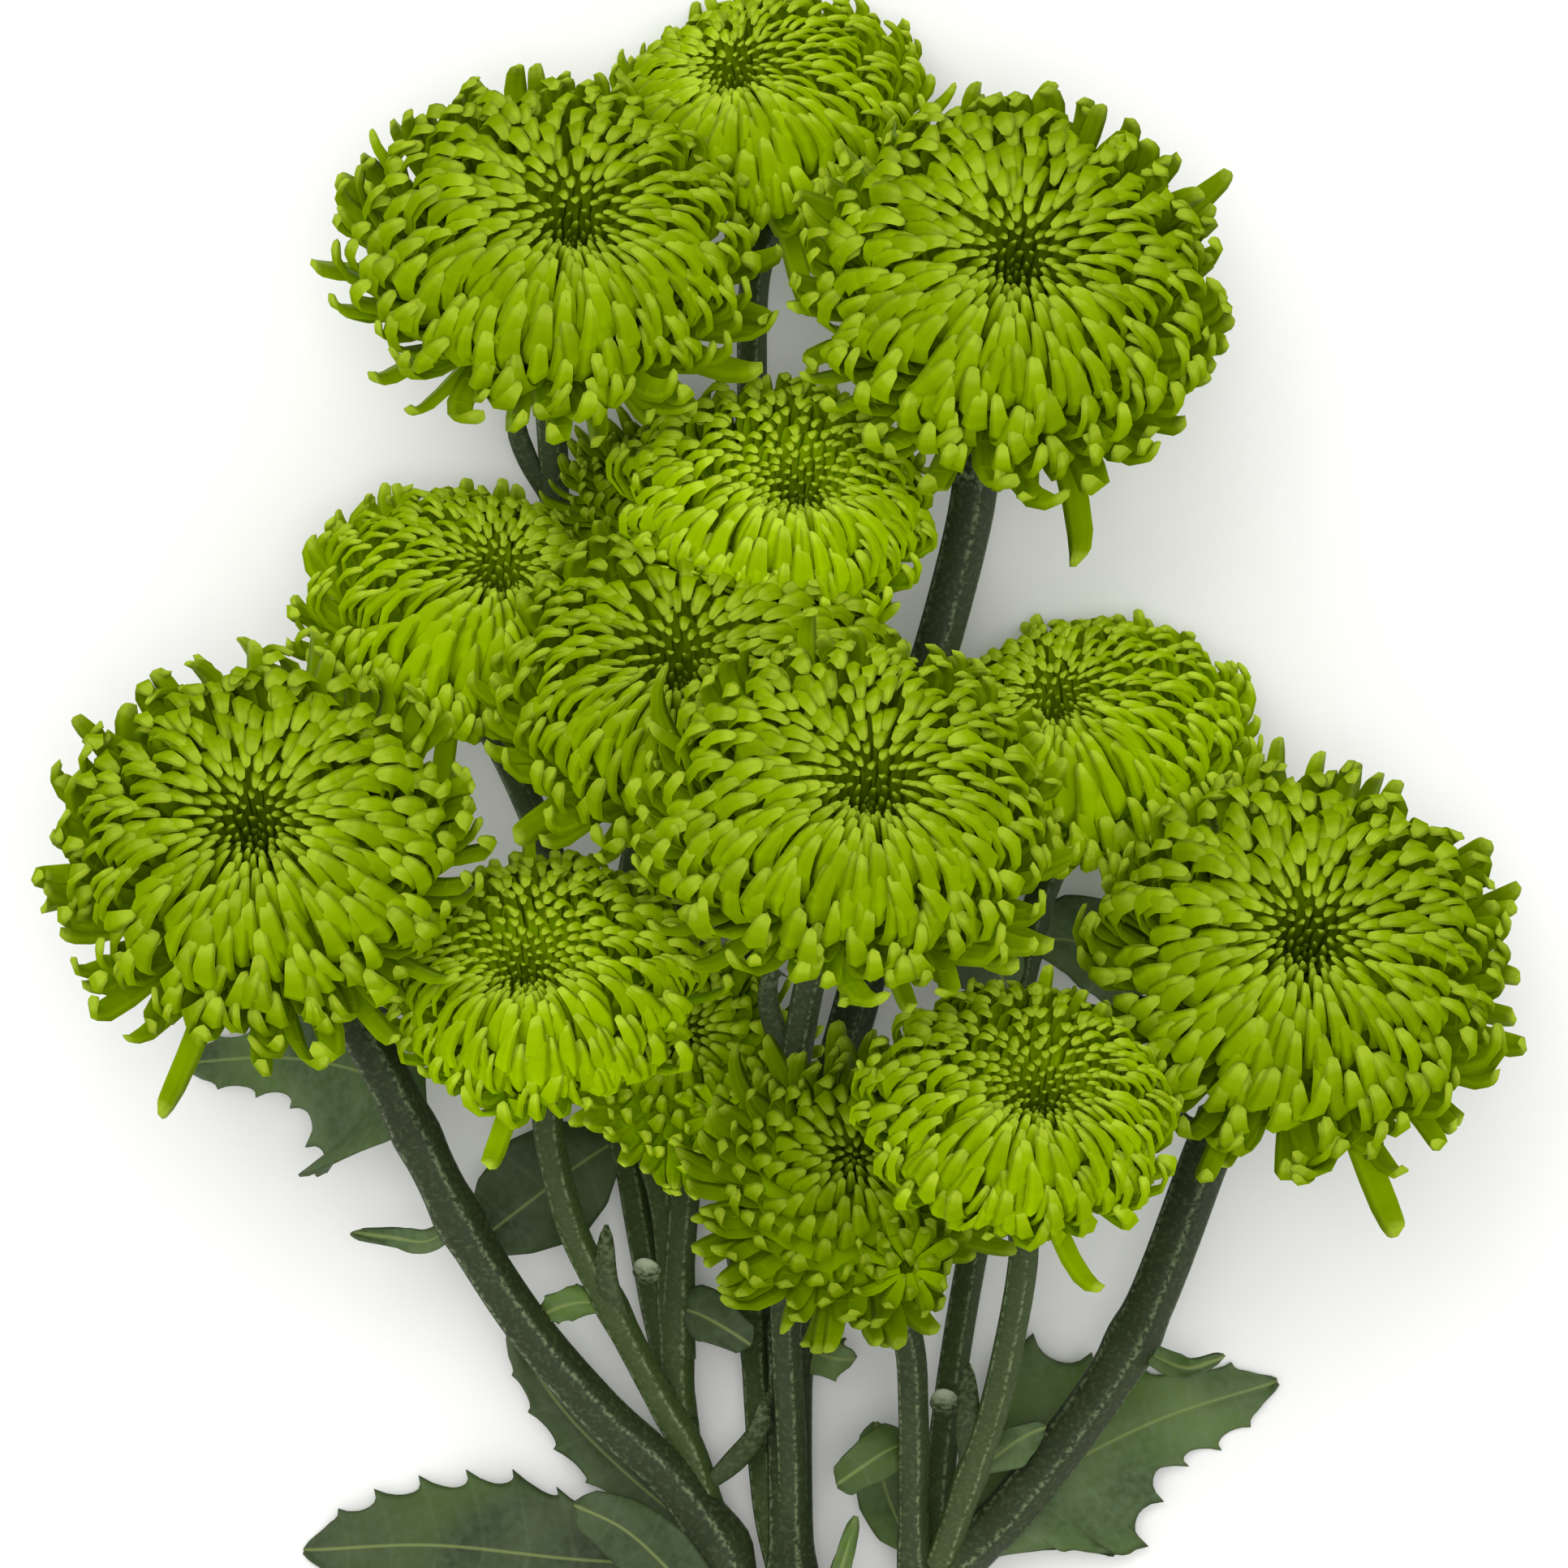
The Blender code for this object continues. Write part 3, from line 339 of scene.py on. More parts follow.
TIP_SHARE = 0.07
RIPPLE_HEIGHT = 0.8
MIDRIB_DEPTH = 0.30
MIDRIB_HALF_WIDTH = 0.8
EDGE_DROOP = 0.6

# Long petals: root, heel and shoulder as (out, up), the last two out in shares of the reach and
# the shoulder up from the tip, and what varies. One past LONG_STRAY hangs out straight and broad
STRAY_ROOT = (0.20, -0.08)
STRAY_HEEL = (0.50, -0.20)
STRAY_SHOULDER = (0.90, -0.16)
STRAY_HALF_WIDTHS = (0.054, 0.066)
STRAY_CURLS = (0.0, 0.6)
STRAY_TWIST = 0.20
STRAY_SWAY = 0.08
STRAY_FULLNESS = 0.3
STRAY_BLUNTNESS = (0.6, 1)
STRAY_SHARE = 0.95
LONG_STRAY = 1.12
LONG_BROADENING = 0.022

# Side rosettes: petals, the first ring and the range of rings they take, and how they differ
ROSETTE_PETALS = 13
ROSETTE_FIRST = 0.25
ROSETTE_RANGE = 0.65
ROSETTE_BROADENING = 1.9
ROSETTE_REACH = 1.15
ROSETTE_TWIST = 0.3
ROSETTE_SWAY = 0.1
ROSETTE_FULLNESS = 0.2
ROSETTE_BLUNTNESS = 0.4
ROSETTE_SHARE = 0.45

# Petal colours: how much of a petal's tone is chance, and from which freshness on the bloom paints
# light into it; then the painted shade of the eye: how far it reaches, how deep it is, and the
# tips there that are painted lit
TONE_CHANCE = 0.6
LIFT_START = 0.9
LIFT_RANGE = 0.3
EYE_SHARE = 0.20
EYE_DEPTH = 0.05
EYE_TIP = (0.75, 0.25)
EYE_TIP_LIGHT = 0.9
EYE_CENTRE = 0.035

# The petal bases under the petals, in shares of the radius, and their painted shade, darkest in
# the middle
CORE_RADIUS = 0.60
CORE_DEPTH = 0.26
CORE_BELLY = 0.10
CORE_DIMPLE = 0.8
CORE_DIMPLE_RADIUS = 0.30
CORE_LIGHT = 0.6
CORE_LIT = (0.15, 0.25)

# The flattened ball that stands for a bloom where it leans on the next one
PRESSED_RADIUS = 0.92
PRESSED_THICKNESS = 0.40
PRESSED_RISE = 0.15
PRESSED_REACH = 1.15
PRESS_BAND = 4.0
PRESS_SLACK = 2.5
PRESS_STEPS = 40
# How far the petals of two blooms reach into each other, beyond where the solids meet
INTERLACE = 5.5


def finished(shape, name):
    """A mesh from a bmesh, which it frees."""
    mesh = bpy.data.meshes.new(name)
    shape.to_mesh(mesh)
    shape.free()
    return mesh


def add_object(name, data):
    """A new object in the scene."""
    thing = bpy.data.objects.new(name, data)
    bpy.context.scene.collection.objects.link(thing)
    return thing


def bar(corners, stations):
    """A closed bar up the z axis: a ring of corners at each station and a point at each end."""
    shape = bmesh.new()
    bmesh.ops.create_circle(shape, cap_ends=True, radius=1.0, segments=corners)
    end = shape.faces[:][0]
    for station in range(1, stations):
        grown = bmesh.ops.extrude_face_region(shape, geom=[end], use_keep_orig=(station == 1))
        moved = [item for item in grown["geom"] if isinstance(item, bmesh.types.BMVert)]
        end = next(item for item in grown["geom"] if isinstance(item, bmesh.types.BMFace))
        bmesh.ops.translate(shape, vec=(0, 0, 1), verts=moved)
    ends = [face for face in shape.faces if abs(face.normal.z) > 0.5]
    bmesh.ops.poke(shape, faces=ends)
    bmesh.ops.recalc_face_normals(shape, faces=shape.faces)
    return finished(shape, "bar")


def read_points(mesh):
    """A mesh's points as rows of x, y and z."""
    points = np.empty(len(mesh.vertices) * 3)
    mesh.vertices.foreach_get("co", points)
    return points.reshape(-1, 3)


def bar_places(mesh, corners):
    """For each point of a bar: its station, its corner, and 1 where it is an end point."""
    points = read_points(mesh)
    station = np.rint(points[:, 2]).astype(int)
    turn = np.arctan2(points[:, 1], points[:, 0]) / math.tau * corners
    corner = np.rint(turn).astype(int) % corners
    pole = (np.hypot(points[:, 0], points[:, 1]) < 0.5).astype(float)
    return station, corner, pole


def repeated(mesh, count):
    """One mesh that holds a number of copies of another, one after the next."""
    shape = bmesh.new()
    for _ in range(count):
        shape.from_mesh(mesh)
    return finished(shape, "many")


def set_points(mesh, points):
    """Put a mesh's points at places in millimetres."""
    moved = (np.asarray(points).reshape(-1, 3) - np.array(ORIGIN)) * MM
    mesh.vertices.foreach_set("co", moved.ravel())
    mesh.update()


def set_shades(mesh, name, *shades):
    """Give each point of a mesh four numbers, which its material reads by name."""
    layer = mesh.attributes.new(name, "FLOAT_COLOR", "POINT")
    shades = np.stack(np.broadcast_arrays(*shades), axis=-1)
    layer.data.foreach_set("color", shades.astype(float).ravel())


def join(name, meshes):
    """One object from several meshes that carry the same attributes."""
    shape = bmesh.new()
    for mesh in meshes:
        shape.from_mesh(mesh)
    whole = finished(shape, name)
    whole.shade_smooth()
    return add_object(name, whole)


def bloom_frame(name):
    """The bloom's place and radius, and its own forward, right and up directions."""
    place, radius, facing = BLOOMS[name][:3]
    forward = Vector(facing).normalized()
    right = Vector((0, 1, 0)).cross(forward).normalized()
    return Vector(place), radius, forward, right, forward.cross(right)


def pressed_body(name):
    """The flattened ball that stands for a bloom among its neighbours."""
    place, radius, forward = bloom_frame(name)[:3]
    wide = (radius * PRESSED_RADIUS) ** 2
    thick = (radius * PRESSED_THICKNESS) ** 2
    outer = Matrix([[forward[row] * forward[column] for column in range(3)] for row in range(3)])
    shape = (Matrix.Identity(3) - outer) * wide + outer * thick
    return place + forward * radius * PRESSED_RISE, radius * PRESSED_REACH, shape


def press_planes(name):
    """Planes between this bloom and its neighbours, which press its petals back."""
    planes = []
    place, reach, shape = pressed_body(name)
    for other in BLOOMS:
        other_place, other_reach, other_shape = pressed_body(other)
        apart = other_place - place
        if other == name or apart.length > reach + other_reach:
            continue
        best = (0, apart)
        for step in range(1, PRESS_STEPS):
            share = step / PRESS_STEPS
            mixed = shape * (1 / (1 - share)) + other_shape * (1 / share)
            normal = mixed.inverted() @ apart
            best = max(best, (apart.dot(normal), normal.normalized()), key=lambda item: item[0])
        normal = best[1]
        own = math.sqrt(normal.dot(shape @ normal))
        theirs = math.sqrt(normal.dot(other_shape @ normal))
        distance = apart.dot(normal) * own / (own + theirs)
        planes.append((place + normal * (distance + INTERLACE), normal))
    return planes


def pressed(points, planes, slack):
    """Move points back from every plane that they near, so that they stay short of it."""
    for origin, normal in planes:
        beyond = (points - np.array(origin)) @ np.array(normal) + slack
        near = beyond > -PRESS_BAND
        held = -PRESS_BAND * PRESS_BAND / (beyond[near] + 2 * PRESS_BAND)
        points[near] += np.outer(held - beyond[near], np.array(normal))
    return points


PETAL = bar(len(SECTION_ACROSS), len(PETAL_STATIONS))
PETAL_STATION, PETAL_CORNER, PETAL_POLE = bar_places(PETAL, len(SECTION_ACROSS))


def petal_points(ways, half_widths, angles, curls, twists, sways, fullness, bluntness):
    """Points of many petals in a bloom's own frame.

    ways holds each petal's root, heel, shoulder and tip as (out, up).
    """
    t = np.array(PETAL_STATIONS)
    weights = np.stack([(1 - t) ** 3, 3 * t * (1 - t) ** 2, 3 * t * t * (1 - t), t ** 3])
    line = np.einsum("nkc,ks->nsc", ways, weights)
    steps = np.diff(line, axis=1)
    middle = (t[1:] + t[:-1]) / 2
    bend = np.clip((middle - CURL_START) / (1 - CURL_START), 0, 1)
    turn = curls[:, None] * bend * bend * (3 - 2 * bend)
    cos, sin = np.cos(turn), np.sin(turn)
    steps = np.stack([steps[..., 0] * cos - steps[..., 1] * sin,
                      steps[..., 0] * sin + steps[..., 1] * cos], axis=-1)
    line = np.concatenate([line[:, :1], line[:, :1] + np.cumsum(steps, axis=1)], axis=1)

    azimuth = angles[:, None] + sways[:, None] * t * t
    outward = np.stack([np.cos(azimuth), np.sin(azimuth), np.zeros_like(azimuth)], axis=-1)
    centre = outward * line[..., :1]
    centre[..., 2] = line[..., 1]
    ahead = np.gradient(centre, axis=1)
    ahead /= np.linalg.norm(ahead, axis=-1, keepdims=True)
    around = np.stack([np.sin(azimuth), -np.cos(azimuth), np.zeros_like(azimuth)], axis=-1)
    around -= ahead * np.sum(around * ahead, axis=-1, keepdims=True)
    around /= np.linalg.norm(around, axis=-1, keepdims=True)
    back = np.cross(ahead, around)
    roll = twists[:, None] * t
    cos, sin = np.cos(roll)[..., None], np.sin(roll)[..., None]
    around, back = around * cos + back * sin, back * cos - around * sin

    station, corner, pole = PETAL_STATION, PETAL_CORNER, PETAL_POLE
    rounded, blunt = np.array(PETAL_WIDTHS), np.array(BLUNT_WIDTHS)
    outline = rounded + bluntness[:, None] * (blunt - rounded)
    half = half_widths[:, None] * outline[:, station] * (1 - pole)
    full = fullness[:, None]
    hollow = np.array(PETAL_HOLLOWS)[station] * (1 - full) - FULL_FACE * full
    depth = PETAL_ARCH * np.array(SECTION_BACK)[corner] + hollow * np.array(SECTION_FACE)[corner]
    along = half_widths[:, None] * TIP_REACH * pole * (station > 0)
    return (centre[:, station]
            + around[:, station] * (half * np.array(SECTION_ACROSS)[corner])[..., None]
            + back[:, station] * (half * depth)[..., None]
            + ahead[:, station] * along[..., None])


def ring_values(rings, share):
    """Each petal's way, half width and curl, from its share between the eye and the rim."""
    keys = np.array([ring[0] for ring in rings])
    ways = between(share, keys, np.array([ring[1:5] for ring in rings]).reshape(len(rings), 8))
    half_widths = np.interp(share, keys, [ring[5] for ring in rings])
    curls = np.radians(np.interp(share, keys, [ring[6] for ring in rings]))
    return ways.reshape(-1, 4, 2), half_widths, curls


def eased(value, start=0, span=1):
    """From 0 to 1 as a value goes over a span, slow at both ends."""
    value = np.clip((value - start) / span, 0, 1)
    return value * value * (3 - 2 * value)


def between(spots, keys, rows):
    """Rows at spots between the given ones."""
    return np.stack([np.interp(spots, keys, column) for column in rows.T], axis=-1)


def spiral_petals(rings, count, bareness, eye, chance):
    """The petals of one bloom, in spirals from its eye to its rim.

    On the bare near side the outer petals stay at the rim, and the inner ones show their backs.
    """
    share = (np.arange(count) + 0.5) / count
    wild = CALM_EYE + (1 - CALM_EYE) * share

    def chances(thing):
        return chance.normal(0, CHANCE[thing], count)

    angles = np.arange(count) * GOLDEN_ANGLE + chances("angle") * wild
    bare = bareness * np.clip(-NEAR_BREADTH * np.sin(angles), 0, 1)
    slide = bare * eased(share, *SLIDING)
    ways, half_widths, curls = ring_values(rings, share + slide * (1 - share) * SLIDE)
    bowed = bare * eased(share, *BOW_STARTS) * eased(share, *BOW_ENDS)
    ways[:, 1:3] += bowed[:, None, None] * np.array(BOW)
    half_widths = half_widths * (1 + BOW_BROADENING * bowed)
    longer = 1 + chances("length") * wild
    longer += np.abs(chances("rim")) * eased(share, *LONG_RIM)
    ways[:, 2:, 0] *= longer[:, None]
    ways[:, 1:, 1] += (chances("rise") * wild)[:, None]
    half_widths = half_widths * (1 + chances("width"))
    curls = curls + chances("curl") * wild
    twists = chances("twist") * wild
    sways = chances("sway") * wild
    fullness = np.clip(1 - (share - BEADS[0]) / BEADS[1], 0, 1)
    bluntness = chance.uniform(0, MOST_BLUNT, count) * wild
    points = petal_points(ways, half_widths, angles, curls, twists, sways, fullness, bluntness)
    points[..., :2] += eased(1 - ways[:, 3, :1, None]) * np.array(eye)
    return points, share


def stray_petals(strays, chance):
    """Long blunt petals that leave the rings."""
    ways = np.array([(STRAY_ROOT, (out * STRAY_HEEL[0], STRAY_HEEL[1]),
                      (out * STRAY_SHOULDER[0], rise + STRAY_SHOULDER[1]), (out, rise))
                     for compass, out, rise in strays])
    count = len(strays)
    angles = np.radians([compass for compass, out, rise in strays])
    longest = np.array([out > LONG_STRAY for compass, out, rise in strays])
    half_widths = chance.uniform(*STRAY_HALF_WIDTHS, count) + LONG_BROADENING * longest
    curls = chance.uniform(*STRAY_CURLS, count) * (1 - longest)
    twists = chance.normal(0, STRAY_TWIST, count)
    sways = chance.normal(0, STRAY_SWAY, count)
    bluntness = chance.uniform(*STRAY_BLUNTNESS, count)
    fullness = np.full(count, STRAY_FULLNESS)
    points = petal_points(ways, half_widths, angles, curls, twists, sways, fullness, bluntness)
    return points, np.full(count, STRAY_SHARE)


def rosette_petals(rosette, chance):
    """Short stout petals round a small second centre."""
    compass, out, rise, radius = rosette
    count = ROSETTE_PETALS
    share = (np.arange(count) + 0.5) / count
    ways, half_widths, curls = ring_values(FLAT_RINGS, ROSETTE_FIRST + ROSETTE_RANGE * share)
    angles = np.arange(count) * GOLDEN_ANGLE
    twists = chance.normal(0, ROSETTE_TWIST, count)
    sways = chance.normal(0, ROSETTE_SWAY, count)
    fullness = np.full(count, ROSETTE_FULLNESS)
    bluntness = np.full(count, ROSETTE_BLUNTNESS)
    points = petal_points(ways, half_widths * ROSETTE_BROADENING, angles, curls, twists, sways,
                          fullness, bluntness) * radius * ROSETTE_REACH
    angle = math.radians(compass)
    points += np.array([out * math.cos(angle), out * math.sin(angle), rise])
    return points, np.full(count, ROSETTE_SHARE)


def core_mesh(rings, eye, place_points):
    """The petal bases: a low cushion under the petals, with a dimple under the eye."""
    shape = bmesh.new()
    bmesh.ops.create_icosphere(shape, subdivisions=4, radius=1.0)
    core = finished(shape, "core")
    points = read_points(core)
    out = np.hypot(points[:, 0], points[:, 1])
    top = max(ring[4][1] for ring in rings) - CORE_DEPTH
    dimple = 1 - CORE_DIMPLE * np.exp(-(out / CORE_DIMPLE_RADIUS) ** 2)
    height = np.sqrt(np.clip(1 - out ** 3, 0, 1))
    points[:, 2] = np.where(points[:, 2] > 0, top * height * dimple, -CORE_BELLY * height)
    points[:, :2] *= CORE_RADIUS
    points[:, :2] += eased(1 - out)[:, None] * np.array(eye)
    set_points(core, place_points(points, PRESS_SLACK))
    # Painted shade on the bases: dark in the middle under the eye, and at most CORE_LIGHT further
    # out
    set_shades(core, "petal", 0, 0.5, 0.5, CORE_LIGHT * eased(out, *CORE_LIT))
    return core


def build_bloom(name, material):
    """A bloom of petals in spirals round a sunken eye, in place of its plain solid."""
    (rings, count, strays, bareness, eye), turn, freshness_and_lift = BLOOMS[name][3:]
    place, radius, forward, right, up = bloom_frame(name)
    planes = press_planes(name)
    chance = np.random.default_rng(int(name[-2:]))
    axes = np.array([right * turn, up, forward]) * radius

    def place_points(points, slack):
        placed = pressed(points.reshape(-1, 3) @ axes + np.array(place), planes, slack)
        room = LANDING_HEIGHT - TABLE_GAP
        landed = TABLE_GAP + room * np.exp((placed[:, 2] - LANDING_HEIGHT) / room)
        placed[:, 2] = np.where(placed[:, 2] < LANDING_HEIGHT, landed, placed[:, 2])
        return placed

    groups = [spiral_petals(rings, count, bareness, eye, chance), stray_petals(strays, chance)]
    if name in ROSETTES:
        groups.append(rosette_petals(ROSETTES[name], chance))
    points = np.concatenate([group[0] for group in groups])
    share = np.concatenate([group[1] for group in groups])
    number = len(share)
    petals = repeated(PETAL, number)
    slack = np.repeat(chance.uniform(0, PRESS_SLACK, number), len(PETAL_STATION))
    set_points(petals, place_points(points, slack))

    along = np.array(PETAL_STATIONS)[PETAL_STATION]
    across = 0.5 + 0.5 * np.array(SECTION_ACROSS)[PETAL_CORNER] * (1 - PETAL_POLE)
    # Painted light: past LIFT_START a bloom's tone is lifted, for blooms lying in the shade of
    # others
    lift = min(1, max(0, freshness_and_lift - LIFT_START) / LIFT_RANGE)
    tone = TONE_CHANCE * chance.uniform(0, 1, number) + (1 - TONE_CHANCE) * lift
    # Painted shade round the eye: petals near it are darkened, all but their tips, which are
    # painted lit
    outside = eased(share / EYE_SHARE)[:, None]
    lit = eased(along, *EYE_TIP) * eased(share / EYE_CENTRE)[:, None]
    light = EYE_DEPTH + (1 - EYE_DEPTH) * (outside + (1 - outside) * EYE_TIP_LIGHT * lit)
    set_shades(petals, "petal", along, across, tone[:, None], min(1, freshness_and_lift) * light)
    core = core_mesh(rings, eye, place_points)
    piece = join(name + "_petals", [petals, core])
    if turn < 0:
        piece.data.flip_normals()
    piece.data.materials.append(material)
    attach(piece, "root")
    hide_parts(name)


def smooth_line(points, step):
    """Evenly spaced points along a smooth curve through the given ones, and each one's share."""
    ends = [Vector(point) for point in points]
    ends = [ends[0] * 2 - ends[1]] + ends + [ends[-1] * 2 - ends[-2]]
    fine = []
    for index in range(1, len(ends) - 2):
        a, b, c, d = ends[index - 1:index + 3]
        for t in np.arange(0, 1, 0.125):
            fine.append(0.5 * (2 * b + (c - a) * t + (2 * a - 5 * b + 4 * c - d) * t * t
                               + (3 * b - a - 3 * c + d) * t * t * t))
    fine.append(ends[-2])
    fine = np.array(fine)
    walked = np.concatenate([[0], np.cumsum(np.linalg.norm(np.diff(fine, axis=0), axis=1))])
    count = max(4, round(walked[-1] / step) + 1)
    spots = np.linspace(0, walked[-1], count)
    return between(spots, walked, fine), spots


def frames_along(line, across):
    """Directions ahead, across and up at each point of a line, turning as little as they can."""
    ahead = np.gradient(line, axis=0)
    ahead /= np.linalg.norm(ahead, axis=1, keepdims=True)
    sideways = np.empty_like(line)
    across = np.array(across, dtype=float)
    for index, direction in enumerate(ahead):
        across = across - direction * across.dot(direction)
        across /= np.linalg.norm(across)
        sideways[index] = across
    return ahead, sideways, np.cross(ahead, sideways)


def tube(line, half_widths, tone, paleness):
    """A round stalk along a line, with fine ridges, closed at both ends."""
    mesh = bar(STEM_CORNERS, len(line))
    station, corner, pole = bar_places(mesh, STEM_CORNERS)
    across, up = frames_along(line, (1, 0, 0))[1:]
    angle = math.tau * corner / STEM_CORNERS
    ridge = np.cos(STEM_RIDGES * angle)
    half = half_widths[station] * (1 - pole) * (1 + RIDGE_HEIGHT * ridge)
    points = (line[station] + across[station] * (half * np.cos(angle))[:, None]
              + up[station] * (half * np.sin(angle))[:, None])
    points[:, 2] = np.maximum(points[:, 2], TABLE_GAP)
    set_points(mesh, points)
    set_shades(mesh, "stem", 0.5 + 0.5 * ridge, paleness[station], tone, 1 - pole)
    return mesh


def swollen(line, joints):
    """How much thicker a stalk is near each joint."""
    swelling = np.ones(len(line))
    for joint in joints:
        distance = np.linalg.norm(line - np.array(joint), axis=1)
        swelling += JOINT_SWELLING * np.exp(-(distance / JOINT_LENGTH) ** 2)
    return swelling


def stalk_mesh(name, way, low_width, top_width, joints, tone):
    """A stalk from its joint to its bloom, with the green cup at its top."""
    place, radius, forward = bloom_frame(name)[:3]
    seat = place + forward * (radius * BLOOM_UNDERSIDE - TOUCH_GAP)
    neck = seat - forward * CUP_HEIGHT
    points = list(way) + [neck - forward * STRAIGHT_STALK, neck, seat]
    line, spots = smooth_line(points, STEM_STEP)
    half_widths = low_width + (top_width - low_width) * spots / spots[-1]
    half_widths = half_widths * swollen(line, joints)
    to_top = spots[-1] - spots
    paleness = CUP_PALENESS * eased(1 - to_top / CUP_PALE_LENGTH)
    if name in BRANCHES:
        half_widths *= 1 - (1 - ABOVE_RIM) * eased((RIM_TO_SEAT - to_top) / RIM_TAPER)
        rim = np.exp(-((to_top - RIM_TO_SEAT) / RIM_HEIGHT) ** 2)
        half_widths *= 1 + RIM_SWELLING * rim
        paleness += RIM_PALENESS * rim
    half_widths += (radius * CUP_RADIUS - half_widths) * eased(1 - to_top / CUP_HEIGHT)
    return tube(line, half_widths, tone, paleness)


def scale_leaf(way, half_width, flatness, tone, paleness=SCALE_PALENESS, corners=SCALE_CORNERS,
               stations=SCALE_STATIONS):
    """A small thick leaf with a rounded tip, hollow along its upper face."""
    mesh = bar(corners, stations)
    station, corner, pole = bar_places(mesh, corners)
    line, spots = smooth_line(way, SCALE_STEP)
    share = np.linspace(0, 1, stations)
    line = between(share, spots / spots[-1], line)
    across, up = frames_along(line, (1, 0, 0.2))[1:]
    angle = math.tau * corner / corners
    outline = np.sqrt(np.clip(1 - share ** 3, 0.02, 1))
    outline *= SCALE_FOOT + (1 - SCALE_FOOT) * eased(share * SCALE_GROWTH)
    width = half_width * outline[station] * (1 - pole)
    dip = 1 - SCALE_DIP * np.clip(np.sin(angle), 0, 1)
    points = (line[station] + across[station] * (width * np.cos(angle))[:, None]
              + up[station] * (width * flatness * dip * np.sin(angle))[:, None])
    points[:, 2] = np.maximum(points[:, 2], TABLE_GAP)
    set_points(mesh, points)
    pale_tip = paleness * share[station] ** (3 / max(1, paleness))
    midline = SCALE_MIDLINE * np.clip(np.sin(angle), 0, 1) ** 6
    set_shades(mesh, "stem", midline, pale_tip, tone, 1)
    return mesh


def cup_scales(name, chance):
    """Small overlapping scales round the cup under a bloom."""
    place, radius, forward, right, up = bloom_frame(name)
    seat = place + forward * (radius * BLOOM_UNDERSIDE - TOUCH_GAP)
    meshes = []
    for ring, (count, low, high, reach) in enumerate(CUP_SCALES):
        for number in range(count):
            angle = math.tau * (number + 0.5 * ring) / count
            angle += chance.uniform(-CUP_SCALE_CHANCE, CUP_SCALE_CHANCE)
            out = right * math.cos(angle) + up * math.sin(angle)
            foot = seat - forward * low + out * radius * CUP_RADIUS * CUP_SCALE_SINK
            middle = seat - forward * (low - CUP_SCALE_RISE)
            middle += out * radius * (CUP_RADIUS + CUP_SCALE_BULGE)
            tip = seat - forward * high + out * radius * reach
            meshes.append(scale_leaf((foot, middle, tip), CUP_SCALE_HALF_WIDTH, CUP_SCALE_FLATNESS,
                                     CUP_TONE, corners=6, stations=5))
    return meshes


def build_stem(material):
    """The branched stem in one piece, with its cups, scale leaves and stubs."""
    chance = random.Random(5)
    joints = [leaf[0][0] for leaf in LEAVES.values()]
    joints += [stalk[1][0] for stalk in STALKS.values()] + [MAIN_JOINT]
    line = smooth_line(MAIN_ROUTE, STEM_STEP)[0]
    meshes = [tube(line, np.full(len(line), MAIN_HALF_WIDTH), MAIN_TONE, np.zeros(len(line)))]
    for name, (low_width, top_width, way) in BRANCHES.items():
        meshes.append(stalk_mesh(name, way, low_width, top_width, joints, BRANCH_TONE))
    for name, (half_width, way) in STALKS.items():
        tone = chance.uniform(*STALK_TONES)
        meshes.append(stalk_mesh(name, way, half_width, half_width, joints, tone))
    for part, (half_width, way) in SCALES.items():
        paleness = BUD_PALENESS if part.startswith("bud") else SCALE_PALENESS
        half_width *= SCALE_FULLNESS
        meshes.append(scale_leaf(way, half_width, SCALE_FLATNESS, SCALE_TONE, paleness))
    for name in BLOOMS:
        meshes.extend(cup_scales(name, chance))
    piece = join("branched_stem", meshes)
    piece.data.materials.append(material)
    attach(piece, "root")
    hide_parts("stem")


